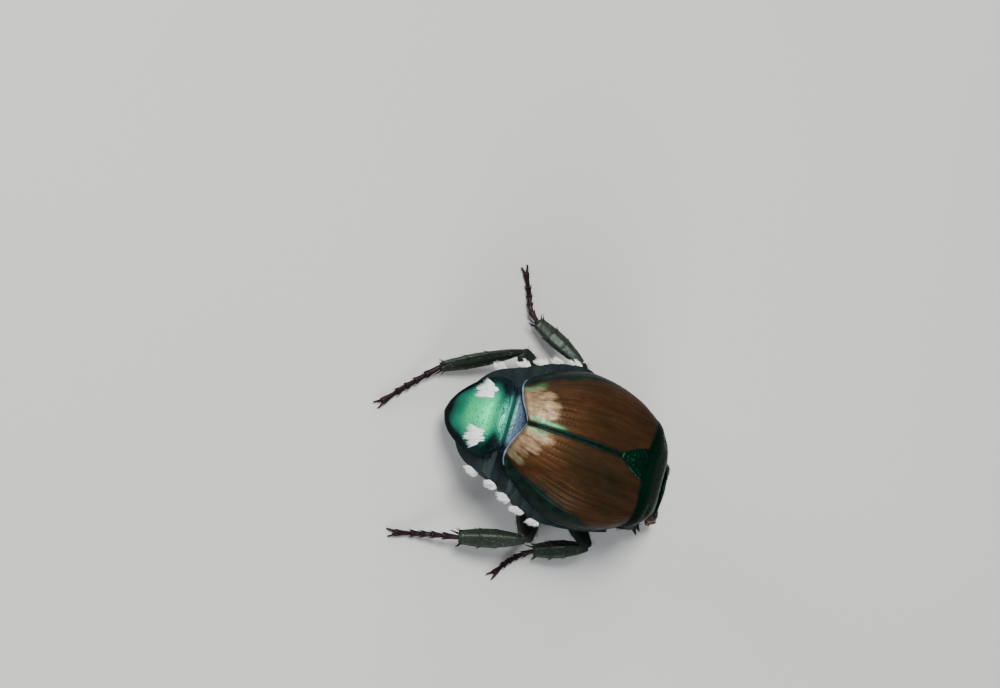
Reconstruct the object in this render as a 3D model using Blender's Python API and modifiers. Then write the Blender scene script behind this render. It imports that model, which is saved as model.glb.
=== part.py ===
"""A Japanese beetle (Popillia japonica) as a still, life-size model on its six feet.

The head looks along -Y, +X is the beetle's left side and +Z is up. Z is 0 on the floor.
Sizes are in millimetres of the real animal. Each finished mesh is scaled to metres.
"""

import math
import random

import bmesh
import bpy
from mathutils import Matrix, Vector

MM = 0.001
GAP = 0.2  # clear space between two neighbouring pieces

# The trunk, as stations of (place along the body, size)
BACK_HEIGHT = (
    (-2.6, 5.6), (-1.6, 5.62), (-0.5, 5.58), (0.6, 5.45), (1.6, 5.2), (2.4, 4.87), (3.0, 4.52), (3.6, 4.1),
)
HALF_WIDTH = (
    (-3.0, 2.4), (-1.9, 2.92), (-0.9, 3.17), (0.2, 3.2), (1.0, 3.0), (1.8, 2.66), (2.5, 2.24), (3.3, 1.7),
)
MARGIN_HEIGHT = ((-3.0, 3.75), (-1.0, 3.6), (1.0, 3.55), (2.4, 3.65), (3.4, 3.75))
FLANK_HALF_WIDTH = (
    (-2.6, 2.6), (-1.2, 3.1), (0.1, 3.36), (0.7, 3.34), (1.45, 3.14), (2.2, 2.82), (2.9, 2.48), (3.5, 2.18),
)
BELLY_HEIGHT = ((-2.6, 1.35), (-1.5, 1.15), (0.0, 1.1), (1.5, 1.15), (3.0, 1.25), (4.1, 1.35))
ARCH_POWER = 2.3
BELLY_POWER = 2.05

ELYTRON_THICKNESS = 0.4
# Where its rear edge runs, from the suture out to the margin
ELYTRON_END = ((0.0, 2.88), (0.25, 3.16), (0.5, 3.26), (0.72, 3.2), (0.88, 3.0), (1.0, 2.65))
SUTURE_HALF_GAP = 0.1

PRONOTUM_FRONT, PRONOTUM_REAR = -4.95, -2.52
PRONOTUM_TOP = ((-4.95, 3.2), (-4.6, 3.84), (-4.1, 4.52), (-3.5, 5.06), (-3.1, 5.33), (-2.52, 5.53))
PRONOTUM_HALF_WIDTH = ((-4.95, 1.25), (-4.6, 1.5), (-4.1, 1.85), (-3.6, 2.16), (-3.1, 2.4), (-2.52, 2.52))
PRONOTUM_SIDE = ((-4.95, 2.65), (-2.52, 3.75))
PRONOTUM_DEPTH = 0.9  # from the side edge down to its underside
REAR_LOBE, FRONT_NOTCH = 0.22, 0.2
PROSTERNUM_HALF_WIDTH = ((-4.72, 0.8), (-4.5, 1.1), (-3.9, 1.6), (-3.4, 1.85), (-3.06, 1.9))

SCUTELLUM_BASE, SCUTELLUM_TIP, SCUTELLUM_HALF_WIDTH = -2.1, -1.1, 0.68

ABDOMEN_FRONT, ABDOMEN_REAR = 0.15, 3.38
THORAX_FRONT, THORAX_REAR = -2.08, -0.05
# How far the two ends run on beyond their upper side, by the share of the height from the back to the belly
FRONT_LEAN = ((0.0, 0.0), (0.17, -0.28), (0.37, -0.38), (0.55, -0.41), (0.66, -0.76), (1.0, -0.78))
REAR_LEAN = ((0.0, 0.0), (1.0, 0.9))
SEGMENT_EDGES = (0.9, 1.5, 2.1, 2.7)
SEGMENT_STEP = 0.07

STEEP = 1.3  # a plate on the steep end of the back is this much deeper, measured straight down
PROPYGIDIUM_FRONT, PROPYGIDIUM_REAR, PROPYGIDIUM_THICKNESS = 2.35, 3.02, 0.36
PYGIDIUM_TOP, PYGIDIUM_TIP = Vector((0, 3.5, 4.02)), Vector((0, 4.92, 1.15))
PYGIDIUM_OUTLINE = ((0.0, 1.2), (0.1, 1.55), (0.3, 1.72), (0.55, 1.5), (0.78, 1.05), (0.93, 0.55))
# Its dome, as rings of (size of the outline, height), from the inner face to the middle of the outer one
PYGIDIUM_RINGS = ((0.94, -0.28), (1.0, -0.12), (0.97, 0.02), (0.8, 0.22), (0.52, 0.36), (0.2, 0.46))

# The hair tufts: five beside the wing case on each side, and two on the pygidium
SIDE_TUFTS = ((0.66, 3.14), (1.46, 3.14), (2.18, 3.12), (2.88, 3.0), (3.6, 2.5))
PYGIDIUM_TUFT_SIDE, PYGIDIUM_TUFT_DOWN = 0.95, 0.9
SIDE_LOCKS, SIDE_TUFT_WIDTH = 3, 0.3
PYGIDIUM_LOCKS, PYGIDIUM_TUFT_WIDTH = 4, 0.6
LOCK_LENGTH, LOCK_RADIUS = 0.55, 0.2

HEAD_STATIONS = (  # place, half width, top, bottom
    (-5.2, 1.0, 2.86, 1.42), (-5.28, 1.1, 2.8, 1.3), (-5.4, 1.14, 2.58, 1.22), (-5.54, 1.1, 2.26, 1.18),
    (-5.67, 1.0, 1.94, 1.16), (-5.78, 0.94, 1.7, 1.2), (-5.85, 0.86, 1.6, 1.28),
)
HEAD_POWER = 2.8
HEAD_TILT = 0.06  # how much further ahead the underside of a section lies than its upper side
EYE_CENTRE, EYE_RADII = Vector((1.0, -5.37, 1.94)), (0.32, 0.3, 0.38)
FEELER_ROOT, FEELER_BEND = Vector((1.2, -5.72, 1.3)), Vector((1.2, -5.88, 1.1))
CLUB_ROOT, CLUB_TIP = Vector((1.1, -5.98, 0.94)), Vector((0.8, -6.3, 0.68))
CLUB_HALF_WIDTH, CLUB_HALF_HEIGHT, CLUB_GROOVE = 0.27, 0.3, 0.3
CLUB_STATIONS = ((0.08, 0.6), (0.25, 0.88), (0.5, 1.0), (0.75, 0.92), (0.92, 0.66), (1.0, 0.34))
PALP_ROOT = Vector((0.26, -5.36, 0.86))
PALP_PATH = ((0, 0, 0), (0.05, -0.2, -0.08), (0.07, -0.36, -0.1), (0.07, -0.52, -0.02), (0.05, -0.72, 0.06))
PALP_RADII = (0.17, 0.2, 0.16, 0.19, 0.1)

# The legs: where the coxa sits, the joints, and the feet, for the beetle's left (+X) and right (-X) side
LEGS = {
    "front_left": dict(
        coxa=(0.8, -3.65, 1.35), hip=(1.2, -3.8, 1.02),
        knee=(2.12, -4.6, 1.62), ankle=(2.14, -5.76, 0.62),
        foot=((2.04, -6.12, 0.36), (1.82, -6.38, 0.22), (1.5, -6.64, 0.22)), size=0.86, roll=0,
    ),
    "front_right": dict(
        coxa=(-0.8, -3.65, 1.35), hip=(-1.15, -3.8, 1.02),
        knee=(-1.8, -4.5, 1.56), ankle=(-1.1, -5.5, 0.6),
        foot=((-0.9, -5.8, 0.36), (-0.62, -6.02, 0.22), (-0.22, -6.26, 0.22)), size=0.86, roll=0,
    ),
    "middle_left": dict(
        coxa=(0.95, -1.75, 1.3), hip=(1.75, -1.7, 0.98),
        knee=(3.98, -0.44, 1.62), ankle=(5.16, 1.58, 0.62),
        foot=((5.62, 1.85, 0.36), (6.32, 2.08, 0.22), (7.1, 2.49, 0.22)), size=0.92, roll=0,
    ),
    "middle_right": dict(
        coxa=(-0.95, -1.75, 1.3), hip=(-1.7, -1.8, 0.98),
        knee=(-3.22, -3.06, 1.6), ankle=(-3.98, -1.13, 0.62),
        foot=((-4.33, -0.71, 0.34), (-4.76, -0.32, 0.22), (-5.33, 0.1, 0.22)), size=0.92, roll=0,
    ),
    "hind_left": dict(
        coxa=(1.35, -0.2, 1.2), hip=(1.95, 0.15, 0.98),
        knee=(3.44, 2.42, 1.6), ankle=(1.78, 5.32, 0.56),
        foot=((0.98, 6.02, 0.35), (0.3, 6.62, 0.24), (-0.4, 7.22, 0.22)), size=1.0, roll=-55,
    ),
    "hind_right": dict(
        coxa=(-1.35, -0.2, 1.2), hip=(-1.9, -0.15, 0.98),
        knee=(-3.96, 0.15, 2.0), ankle=(-4.62, 2.55, 0.9),
        foot=((-4.82, 3.5, 0.58), (-5.02, 4.3, 0.3), (-5.24, 5.05, 0.22)), size=1.0, roll=0,
    ),
}
COXA_RADII = {"front": (0.5, 0.42, 0.55), "middle": (0.62, 0.42, 0.45), "hind": (0.78, 0.42, 0.4)}
FEMUR_HALF_WIDTH = {"front": 0.42, "middle": 0.46, "hind": 0.58}
FEMUR_FLATNESS = 0.58
FEMUR_STATIONS = ((0.0, 0.42), (0.12, 0.78), (0.35, 1.0), (0.6, 0.94), (0.82, 0.68), (1.0, 0.42))
TIBIA_HALF_WIDTH = {"front": 0.34, "middle": 0.42, "hind": 0.41}
TIBIA_FLATNESS = 0.64
TIBIA_STATIONS = ((0.0, 0.56), (0.14, 0.76), (0.38, 0.96), (0.6, 1.0), (0.88, 0.78), (1.0, 0.62))
THINNEST_SHELL = 0.23  # the least half height of a thigh or shin
KNEE_ROOM, SHARP_KNEE_ROOM = 0.12, 0.36  # from the joint to the shin, and more where the knee is bent
ANKLE_ROOM = 0.28
TARSUS_RADIUS = 0.23
TARSUS_JOINTS = (0.0, 0.24, 0.42, 0.58, 0.73, 1.0)
JOINT_STATIONS = ((0.08, 0.72), (0.6, 0.88), (0.96, 1.0))
# The shin's spines, as (share of its length, side, lift), and the share for each tooth of a front shin
SHIN_SPINES = ((0.4, 1, 0.35), (0.62, -1, 0.3), (0.66, 1, 0.5), (0.9, 1, 0.5), (0.92, -1, 0.55))
FRONT_TEETH = (0.66, 0.96)
SPINE_RADIUS, SPINE_LENGTH = 0.18, 0.56
CLAW_RADIUS, CLAW_LENGTH, CLAW_SPREAD, CLAW_DROP = 0.16, 0.42, 0.14, 0.16
CLAW_STATIONS = ((0, 1), (0.35, 0.85), (0.7, 0.6), (1.05, 0.28))

COLOURS = {
    "green_shell": ((0.012, 0.075, 0.035), 0.22, 0.6),
    "wing_case": ((0.2, 0.065, 0.025), 0.25, 0.5),
    "leg_shell": ((0.012, 0.03, 0.02), 0.3, 0.5),
    "eye_black": ((0.01, 0.008, 0.008), 0.12, 0.0),
    "feeler_brown": ((0.09, 0.03, 0.012), 0.35, 0.0),
}


# Small tools

def along(stations, place):
    """The value at a place, by a smooth curve through stations of (place, value)."""
    if place <= stations[0][0]:
        return stations[0][1]
    if place >= stations[-1][0]:
        return stations[-1][1]
    last = len(stations) - 1
    i = next(k for k in range(last) if place <= stations[k + 1][0])
    (p0, v0), (p1, v1) = stations[i], stations[i + 1]
    before, after = stations[max(i - 1, 0)], stations[min(i + 2, last)]
    slope0 = (v1 - before[1]) / (p1 - before[0])
    slope1 = (after[1] - v0) / (after[0] - p0)
    t, span = (place - p0) / (p1 - p0), p1 - p0
    return (
        v0 * (2 * t**3 - 3 * t**2 + 1) + v1 * (3 * t**2 - 2 * t**3)
        + span * (slope0 * (t**3 - 2 * t**2 + t) + slope1 * (t**3 - t**2))
    )


def bent(value, power):
    """A sine or cosine made squarer, for a superellipse."""
    return math.copysign(abs(value) ** (2 / power), value)


def material(name):
    made = bpy.data.materials.get(name)
    if made:
        return made
    colour, roughness, metallic = COLOURS[name]
    made = bpy.data.materials.new(name)
    made.use_nodes = True
    shader = made.node_tree.nodes["Principled BSDF"]
    shader.inputs["Base Color"].default_value = (*colour, 1)
    shader.inputs["Roughness"].default_value = roughness
    shader.inputs["Metallic"].default_value = metallic
    return made


def as_object(name, bm):
    """A mesh object in millimetres, with its faces turned outwards."""
    bmesh.ops.recalc_face_normals(bm, faces=bm.faces[:])
    mesh = bpy.data.meshes.new(name)
    bm.to_mesh(mesh)
    bm.free()
    obj = bpy.data.objects.new(name, mesh)
    bpy.context.scene.collection.objects.link(obj)
    return obj


def loft(name, rings):
    """A closed skin over rings of points, with ends that meet in a middle point."""
    bm = bmesh.new()
    loops = [[bm.verts.new(p) for p in ring] for ring in rings]
    count = len(loops[0])
    for first, second in zip(loops, loops[1:]):
        for i in range(count):
            j = (i + 1) % count
            bm.faces.new((first[i], first[j], second[j], second[i]))
    for end in (loops[0], loops[-1]):
        middle = bm.verts.new(sum((v.co for v in end), Vector()) / count)
        for i in range(count):
            bm.faces.new((end[i], end[(i + 1) % count], middle))
    return as_object(name, bm)


def frame_at(path, index, up):
    """The side and up directions of a path at one of its points."""
    before, after = path[max(index - 1, 0)], path[min(index + 1, len(path) - 1)]
    ahead = (after - before).normalized()
    side = ahead.cross(up).normalized()
    return side, side.cross(ahead).normalized()


def limb(name, path, half_widths, half_heights, sides, up=Vector((0, 0, 1))):
    """A tube of oval section along a path."""
    path = [Vector(p) for p in path]
    rings = []
    for i, (centre, a, b) in enumerate(zip(path, half_widths, half_heights)):
        side, lift = frame_at(path, i, up)
        turns = [2 * math.pi * (k + 0.5) / sides for k in range(sides)]
        rings.append([centre + side * (a * math.cos(t)) + lift * (b * math.sin(t)) for t in turns])
    return loft(name, rings)


def spike(name, root, tip, radius, sides=5):
    """A tapered spine or lock from its root to its tip."""
    root, tip = Vector(root), Vector(tip)
    bm = bmesh.new()
    turn = (tip - root).to_track_quat("Z", "Y").to_matrix().to_4x4()
    place = Matrix.Translation((root + tip) / 2) @ turn
    bmesh.ops.create_cone(
        bm, cap_ends=True, cap_tris=True, segments=sides, radius1=radius, radius2=radius * 0.22,
        depth=(tip - root).length, matrix=place,
    )
    return as_object(name, bm)


def ball(name, centre, radii, segments=14, rings=9):
    bm = bmesh.new()
    shape = Matrix.Translation(centre) @ Matrix.Diagonal((*radii, 1))
    bmesh.ops.create_uvsphere(bm, u_segments=segments, v_segments=rings, radius=1, matrix=shape)
    return as_object(name, bm)


def largest_body(mesh):
    """Leaves only the closed surface that holds the most space."""
    bm = bmesh.new()
    bm.from_mesh(mesh)
    left, bodies = set(bm.faces), []
    while left:
        reached, body = [left.pop()], []
        while reached:
            face = reached.pop()
            body.append(face)
            for edge in face.edges:
                for other in edge.link_faces:
                    if other in left:
                        left.remove(other)
                        reached.append(other)
        bodies.append(body)

    def volume(body):
        corners = [[v.co for v in f.verts] for f in body]
        return abs(sum(c[0].dot(c[i].cross(c[i + 1])) for c in corners for i in range(1, len(c) - 1)))

    bodies.sort(key=volume)
    bmesh.ops.delete(bm, geom=[f for body in bodies[:-1] for f in body], context="FACES")
    bm.to_mesh(mesh)
    bm.free()


def applied(obj):
    """The object's mesh with its modifiers made real."""
    graph = bpy.context.evaluated_depsgraph_get()
    mesh = bpy.data.meshes.new_from_object(obj.evaluated_get(graph))
    obj.modifiers.clear()
    obj.data = mesh
    return obj


def boolean(obj, others, operation, solver="EXACT"):
    """Joins or cuts with a collection of other closed meshes, which are then removed."""
    group = bpy.data.collections.new(f"{obj.name}_{operation.lower()}")
    bpy.context.scene.collection.children.link(group)
    for other in others:
        bpy.context.scene.collection.objects.unlink(other)
        group.objects.link(other)
    step = obj.modifiers.new(operation.title(), "BOOLEAN")
    step.operation, step.solver = operation, solver
    step.operand_type, step.collection = "COLLECTION", group
    applied(obj)
    largest_body(obj.data)
    for other in others:
        bpy.data.objects.remove(other)
    bpy.data.collections.remove(group)
    return obj


def node(obj, name, finish):
    """Makes the object a finished node: named, coloured, shaded, flat on the floor and in metres."""
    for vertex in obj.data.vertices:
        vertex.co.z = max(vertex.co.z, 0)
    obj.data.transform(Matrix.Scale(MM, 4))
    obj.name = obj.data.name = name
    obj.data.materials.clear()
    obj.data.materials.append(material(finish))
    obj.data.shade_smooth()
    obj.data.set_sharp_from_angle(angle=math.radians(40))
    return obj


def centre_footprint():
    """Moves all nodes sideways, in steps of 0.01 mm, until the origin is in the middle of the footprint."""
    objects = [obj for obj in bpy.data.objects if obj.type == "MESH"]
    points = [vertex.co for obj in objects for vertex in obj.data.vertices]
    step = 0.01 * MM
    middle = []
    for axis in (0, 1):
        low, high = min(p[axis] for p in points), max(p[axis] for p in points)
        middle.append(round((low + high) / 2 / step) * step)
    print("middle of the footprint", [round(value / MM, 2) for value in middle])
    for obj in objects:
        obj.data.transform(Matrix.Translation((-middle[0], -middle[1], 0)))


# The trunk

def arch_point(y, across, drop=0.0):
    """A point of the back's outer surface: across runs from 0 at the middle line to 1 at the margin."""
    turn = across * math.pi / 2
    width, margin = along(HALF_WIDTH, y) - drop, along(MARGIN_HEIGHT, y)
    rise = along(BACK_HEIGHT, y) - drop - margin
    x, z = width * bent(math.sin(turn), ARCH_POWER), margin + rise * bent(math.cos(turn), ARCH_POWER)
    return Vector((x, y, z))


def pronotum_rear(x):
    """Where the pronotum's rear edge runs, with its lobe towards the scutellum."""
    return PRONOTUM_REAR + REAR_LOBE * math.cos(math.pi * x / along(PRONOTUM_HALF_WIDTH, PRONOTUM_REAR))


def make_pronotum():
    rings, steps, sides = [], 9, 30
    for k in range(steps + 1):
        share = k / steps
        y = PRONOTUM_FRONT + (PRONOTUM_REAR - PRONOTUM_FRONT) * share
        width, side, top = (along(s, y) for s in (PRONOTUM_HALF_WIDTH, PRONOTUM_SIDE, PRONOTUM_TOP))
        ring = []
        for i in range(sides):
            turn = 2 * math.pi * i / sides
            upper = max(0.0, math.sin(turn))
            x = width * bent(math.cos(turn), ARCH_POWER)
            z = side + (top - side if upper else PRONOTUM_DEPTH) * bent(math.sin(turn), ARCH_POWER)
            notch = FRONT_NOTCH * (1 - (x / width) ** 2) * (1 - share) * upper
            lobe = (pronotum_rear(x) - PRONOTUM_REAR if upper else -REAR_LOBE) * share
            ring.append((x, y + notch + lobe, z))
        rings.append(ring)
    return loft("pronotum", rings)


def make_prosternum():
    """The underside of the prothorax, between the front legs."""
    rings = []
    for y, width in PROSTERNUM_HALF_WIDTH:
        top = along(PRONOTUM_SIDE, y) - PRONOTUM_DEPTH - GAP
        bottom = BELLY_HEIGHT[0][1] - 0.05 * (y - THORAX_FRONT)
        middle, half = (top + bottom) / 2, (top - bottom) / 2
        turns = [2 * math.pi * i / 16 for i in range(16)]
        ring = [(width * bent(math.cos(t), 2.6), y, middle + half * bent(math.sin(t), 2.6)) for t in turns]
        rings.append(ring)
    return loft("prosternum", rings)


def make_scutellum(grow=0.0, deep=0.5):
    """The small triangular plate behind the pronotum. With grow it is the cutter of its own notch."""
    rings, steps = [], 5
    for k in range(steps + 1):
        share = k / steps
        y = SCUTELLUM_BASE - grow + (SCUTELLUM_TIP - SCUTELLUM_BASE + 2 * grow) * share
        width = SCUTELLUM_HALF_WIDTH * (1 - share**1.5) + 0.06 + grow
        top = along(BACK_HEIGHT, y) + 0.04 + 2 * grow
        bottom = top - deep - 4 * grow
        ring = []
        for i in range(12):
            turn = 2 * math.pi * (i + 0.5) / 12
            middle, half = (top + bottom) / 2, (top - bottom) / 2
            ring.append((width * bent(math.cos(turn), 4), y, middle + half * bent(math.sin(turn), 4)))
        rings.append(ring)
    return loft("scutellum", rings)


def elytron_place(side, share, across):
    """A point of a wing case: share runs from its base to its end, across from the suture to the margin."""
    base = pronotum_rear(arch_point(PRONOTUM_REAR, across).x) + GAP
    end = along(ELYTRON_END, across)
    y = base + (end - base) * share
    point = arch_point(y, across)
    point.x = side * max(point.x, SUTURE_HALF_GAP)
    return point


def arch_plate(name, place, long_steps, cross_steps, thickness):
    """A plate of the back: an open grid of points given its thickness inwards."""
    bm = bmesh.new()
    grid = [
        [bm.verts.new(place(i / long_steps, j / cross_steps)) for j in range(cross_steps + 1)]
        for i in range(long_steps + 1)
    ]
    for i in range(long_steps):
        for j in range(cross_steps):
            bm.faces.new((grid[i][j], grid[i + 1][j], grid[i + 1][j + 1], grid[i][j + 1]))
    plate = as_object(name, bm)
    if plate.data.polygons[0].normal.z < 0:
        plate.data.flip_normals()
    wall = plate.modifiers.new("Wall", "SOLIDIFY")
    wall.thickness, wall.offset = thickness, -1
    return applied(plate)


def make_elytron(side):
    """A wing case with its notch for the scutellum."""
    shell = arch_plate("elytron", lambda a, b: elytron_place(side, a, b), 15, 10, ELYTRON_THICKNESS)
    return boolean(shell, [make_scutellum(grow=GAP)], "DIFFERENCE")


def make_propygidium():
    """The band of the back that shows between the wing cases and the pygidium."""

    def place(share, across):
        y = PROPYGIDIUM_FRONT + (PROPYGIDIUM_REAR - PROPYGIDIUM_FRONT) * share
        point = arch_point(y, abs(2 * across - 1) * 0.94, STEEP * ELYTRON_THICKNESS + GAP)
        point.x = math.copysign(point.x, across - 0.5)
        return point

    return arch_plate("propygidium", place, 3, 18, PROPYGIDIUM_THICKNESS)


def trunk_ring(y, drop, step, lean, lean_share):
    """One section of the thorax or abdomen: the belly, the ledge under the wing case and the back."""
    width = along(FLANK_HALF_WIDTH, y) - step
    belly, back = along(BELLY_HEIGHT, y) + step, along(BACK_HEIGHT, y) - drop
    margin = min(along(MARGIN_HEIGHT, y) - GAP, back - 0.2)
    inner = along(HALF_WIDTH, y) - drop
    half = []
    for i in range(8):
        turn = i / 7 * math.pi / 2
        x = width * bent(math.sin(turn), BELLY_POWER)
        half.append((x, margin - (margin - belly) * bent(math.cos(turn), BELLY_POWER)))
    for i in range(6):
        turn = (1 - i / 5) * math.pi / 2
        x = inner * bent(math.sin(turn), ARCH_POWER)
        half.append((x, margin + (back - margin) * bent(math.cos(turn), ARCH_POWER)))
    whole = half + [(-x, z) for x, z in half[-2:0:-1]]
    return [(x, y + lean_share * along(lean, (back - z) / (back - belly)), z) for x, z in whole]


def trunk(name, front, rear, steps, drop_at, lean, lean_share_at, grooves=()):
    """The thorax or abdomen, with a shallow groove at each segment's edge."""
    places = {front + (rear - front) * k / steps: 0.0 for k in range(steps + 1)}
    for groove in grooves:
        places = {y: s for y, s in places.items() if abs(y - groove) > 0.16}
        places.update({groove - 0.1: 0.0, groove: SEGMENT_STEP})
    rings = [trunk_ring(y, drop_at(y), places[y], lean, lean_share_at(y)) for y in sorted(places)]
    return loft(name, rings)


def tuft(name, root, out, down, lift, count, width, chance):
    """A tuft of short stiff hair: tapered locks that fan out and lie down along the body."""
    locks = []
    across = out.cross(down).normalized()
    for k in range(count):
        spread = k / (count - 1) - 0.5
        start = root + across * (spread * width) - out * 0.24 - down * (0.09 * (k % 2))
        length = LOCK_LENGTH * chance.uniform(0.9, 1.12)
        aim = (out * lift + down * 0.62 + across * (spread * 0.55)).normalized()
        locks.append(spike(f"{name}_lock_{k}", start, start + aim * length, LOCK_RADIUS))
    return locks


def under_wing(y):
    """How far the trunk's own back lies below the outside of the wing cases."""
    under_plate = (STEEP - 1) * ELYTRON_THICKNESS + STEEP * PROPYGIDIUM_THICKNESS + GAP
    drop = ELYTRON_THICKNESS + GAP + along(((1.9, 0.0), (PROPYGIDIUM_FRONT - 2 * GAP, under_plate)), y)
    level = along(BACK_HEIGHT, PROPYGIDIUM_REAR) - drop  # behind the last plate the back runs on level
    return drop if y < PROPYGIDIUM_REAR else along(BACK_HEIGHT, y) - level


def rear_lean_share(y):
    """How much of the abdomen's rear lean a section takes, from none in front to all at the end."""
    return max(0.0, (y - SEGMENT_EDGES[0]) / (ABDOMEN_REAR - SEGMENT_EDGES[0])) ** 1.5


def flank_point(side, y, z):
    """A point on the abdomen's side, at a given place and height."""
    station = y
    for _ in range(8):
        back, belly = along(BACK_HEIGHT, station) - under_wing(station), along(BELLY_HEIGHT, station)
        station = y - rear_lean_share(station) * along(REAR_LEAN, (back - z) / (back - belly))
    margin = min(along(MARGIN_HEIGHT, station) - GAP, back - 0.2)
    low = min(1.0, max(0.0, (margin - z) / (margin - belly)))
    width = along(FLANK_HALF_WIDTH, station) * (1 - low**BELLY_POWER) ** (1 / BELLY_POWER)
    return Vector((side * width, y, z))


def make_abdomen():
    """The abdomen with its segments and the five tufts of each side."""
    abdomen = trunk(
        "abdomen", ABDOMEN_FRONT, ABDOMEN_REAR, 8, under_wing, REAR_LEAN, rear_lean_share, SEGMENT_EDGES,
    )
    chance, locks = random.Random(7), []
    for side in (1, -1):
        for k, (y, z) in enumerate(SIDE_TUFTS):
            root = flank_point(side, y, z)
            along_side = flank_point(side, y + 0.15, z) - flank_point(side, y - 0.15, z)
            out = along_side.cross(Vector((0, 0, side))).normalized()
            root -= out * 0.05
            down = Vector((0, 0.3, -1)).normalized()
            locks += tuft(f"tuft_{side}_{k}", root, out, down, 0.8, SIDE_LOCKS, SIDE_TUFT_WIDTH, chance)
    return boolean(abdomen, locks, "UNION")


def make_thorax():

    def lean_share_at(y):
        return (THORAX_REAR - y) / (THORAX_REAR - THORAX_FRONT)

    def drop_at(y):
        return under_wing(y) + along(((THORAX_FRONT, GAP), (THORAX_FRONT + 2 * GAP, 0.0)), y)

    return trunk("thorax", THORAX_FRONT, THORAX_REAR, 5, drop_at, FRONT_LEAN, lean_share_at)


def make_pygidium():
    """The last plate of the back: a domed shield on the abdomen's end, with its two tufts."""
    down = (PYGIDIUM_TIP - PYGIDIUM_TOP).normalized()
    length = (PYGIDIUM_TIP - PYGIDIUM_TOP).length
    out = Vector((1, 0, 0)).cross(down).normalized()
    if out.y < 0:
        out = -out
    right = [(share * length, width) for share, width in PYGIDIUM_OUTLINE]
    outline = [(w, s) for s, w in right] + [(0, length)] + [(-w, s) for s, w in reversed(right)]
    middle = Vector((0, length * 0.42))
    rings = []
    for scale, height in PYGIDIUM_RINGS:
        ring = []
        for w, s in outline:
            flat = middle + (Vector((w, s)) - middle) * scale
            ring.append(PYGIDIUM_TOP + Vector((flat.x, 0, 0)) + down * flat.y + out * height)
        rings.append(ring)
    shield = loft("pygidium", rings)
    chance, locks = random.Random(11), []
    for side in (1, -1):
        beside = Vector((side * PYGIDIUM_TUFT_SIDE, 0, 0))
        root = PYGIDIUM_TOP + beside + down * PYGIDIUM_TUFT_DOWN + out * 0.3
        lie = (down + Vector((-side * 0.3, 0, 0))).normalized()
        name = f"pygidium_tuft_{side}"
        locks += tuft(name, root, out, lie, 0.3, PYGIDIUM_LOCKS, PYGIDIUM_TUFT_WIDTH, chance)
    return boolean(shield, locks, "UNION")


# The head

def make_head():
    """The head with its clypeus, whose front edge is turned up a little."""
    rings = []
    for y, width, top, bottom in HEAD_STATIONS:
        middle, half = (top + bottom) / 2, (top - bottom) / 2
        ring = []
        for i in range(20):
            turn = 2 * math.pi * i / 20
            x, z = width * bent(math.cos(turn), HEAD_POWER), middle + half * bent(math.sin(turn), HEAD_POWER)
            ring.append((x, y + HEAD_TILT * math.sin(turn), z))
        rings.append(ring)
    head = loft("head", rings)
    sockets = []
    for side in (1, -1):
        centre = Vector((side * EYE_CENTRE.x, EYE_CENTRE.y, EYE_CENTRE.z))
        sockets.append(ball(f"socket_{side}", centre, [r + GAP * 0.6 for r in EYE_RADII]))
    return boolean(head, sockets, "DIFFERENCE")


def make_eye(side):
    return ball("eye", Vector((side * EYE_CENTRE.x, EYE_CENTRE.y, EYE_CENTRE.z)), EYE_RADII)


def make_antenna(side):
    """The feeler: a stem with small joints and a club of three leaves that lie together."""
    root, bend, club, tip = (
        Vector((side * p.x, p.y, p.z)) for p in (FEELER_ROOT, FEELER_BEND, CLUB_ROOT, CLUB_TIP)
    )
    stem = [(root, 0.17), (root.lerp(bend, 0.35), 0.21), (bend, 0.2), (bend.lerp(club, 0.35), 0.16)]
    stem += [(bend.lerp(club, 0.65), 0.19), (bend.lerp(club, 0.9), 0.16)]
    path = [p for p, _ in stem] + [club.lerp(tip, share) for share, _ in CLUB_STATIONS]
    sides, rings = 16, []
    for i, centre in enumerate(path):
        across, lift = frame_at(path, i, Vector((0, -0.4, 1)))
        leaf = CLUB_STATIONS[i - len(stem)][1] if i >= len(stem) else 0.0
        wide, high = (CLUB_HALF_WIDTH * leaf, CLUB_HALF_HEIGHT * leaf) if leaf else (stem[i][1],) * 2
        ring = []
        for k in range(sides):
            turn = 2 * math.pi * k / sides
            depth = 1 - (CLUB_GROOVE if leaf and k % 8 in (3, 5) else 0)
            ring.append(centre + across * (wide * math.cos(turn)) + lift * (high * depth * math.sin(turn)))
        rings.append(ring)
    return loft("antenna", rings)


def make_palp(side):
    """A short jointed mouth feeler under the head."""
    path = [PALP_ROOT + Vector(step) for step in PALP_PATH]
    path = [Vector((side * p.x, p.y, p.z)) for p in path]
    return limb("palp", path, PALP_RADII, PALP_RADII, 7)


# The legs

def pulled_back(start, end, amount):
    """The start of a stretch, moved towards its end."""
    start, end = Vector(start), Vector(end)
    return start + (end - start).normalized() * amount


def make_coxa(name, centre, grow=0.0):
    radii = [r + grow for r in COXA_RADII[name.split("_")[0]]]
    return ball(f"coxa_{name}", Vector(centre), radii, 12, 8)


def make_femur(name, leg):
    """The thigh, flattened, widest before its middle."""
    pair, size = name.split("_")[0], leg["size"]
    start, end = Vector(leg["hip"]), pulled_back(leg["knee"], leg["hip"], KNEE_ROOM)
    width = FEMUR_HALF_WIDTH[pair] * size
    widths = [width * part for _, part in FEMUR_STATIONS]
    heights = [max(w * FEMUR_FLATNESS, THINNEST_SHELL) for w in widths]
    return limb(f"femur_{name}", [start.lerp(end, share) for share, _ in FEMUR_STATIONS], widths, heights, 9)


def shin_up(leg, ahead):
    """The direction across the flat of the shin: straight up, or turned about the shin by its roll."""
    return Matrix.Rotation(math.radians(leg["roll"]), 3, ahead) @ Vector((0, 0, 1))


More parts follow.
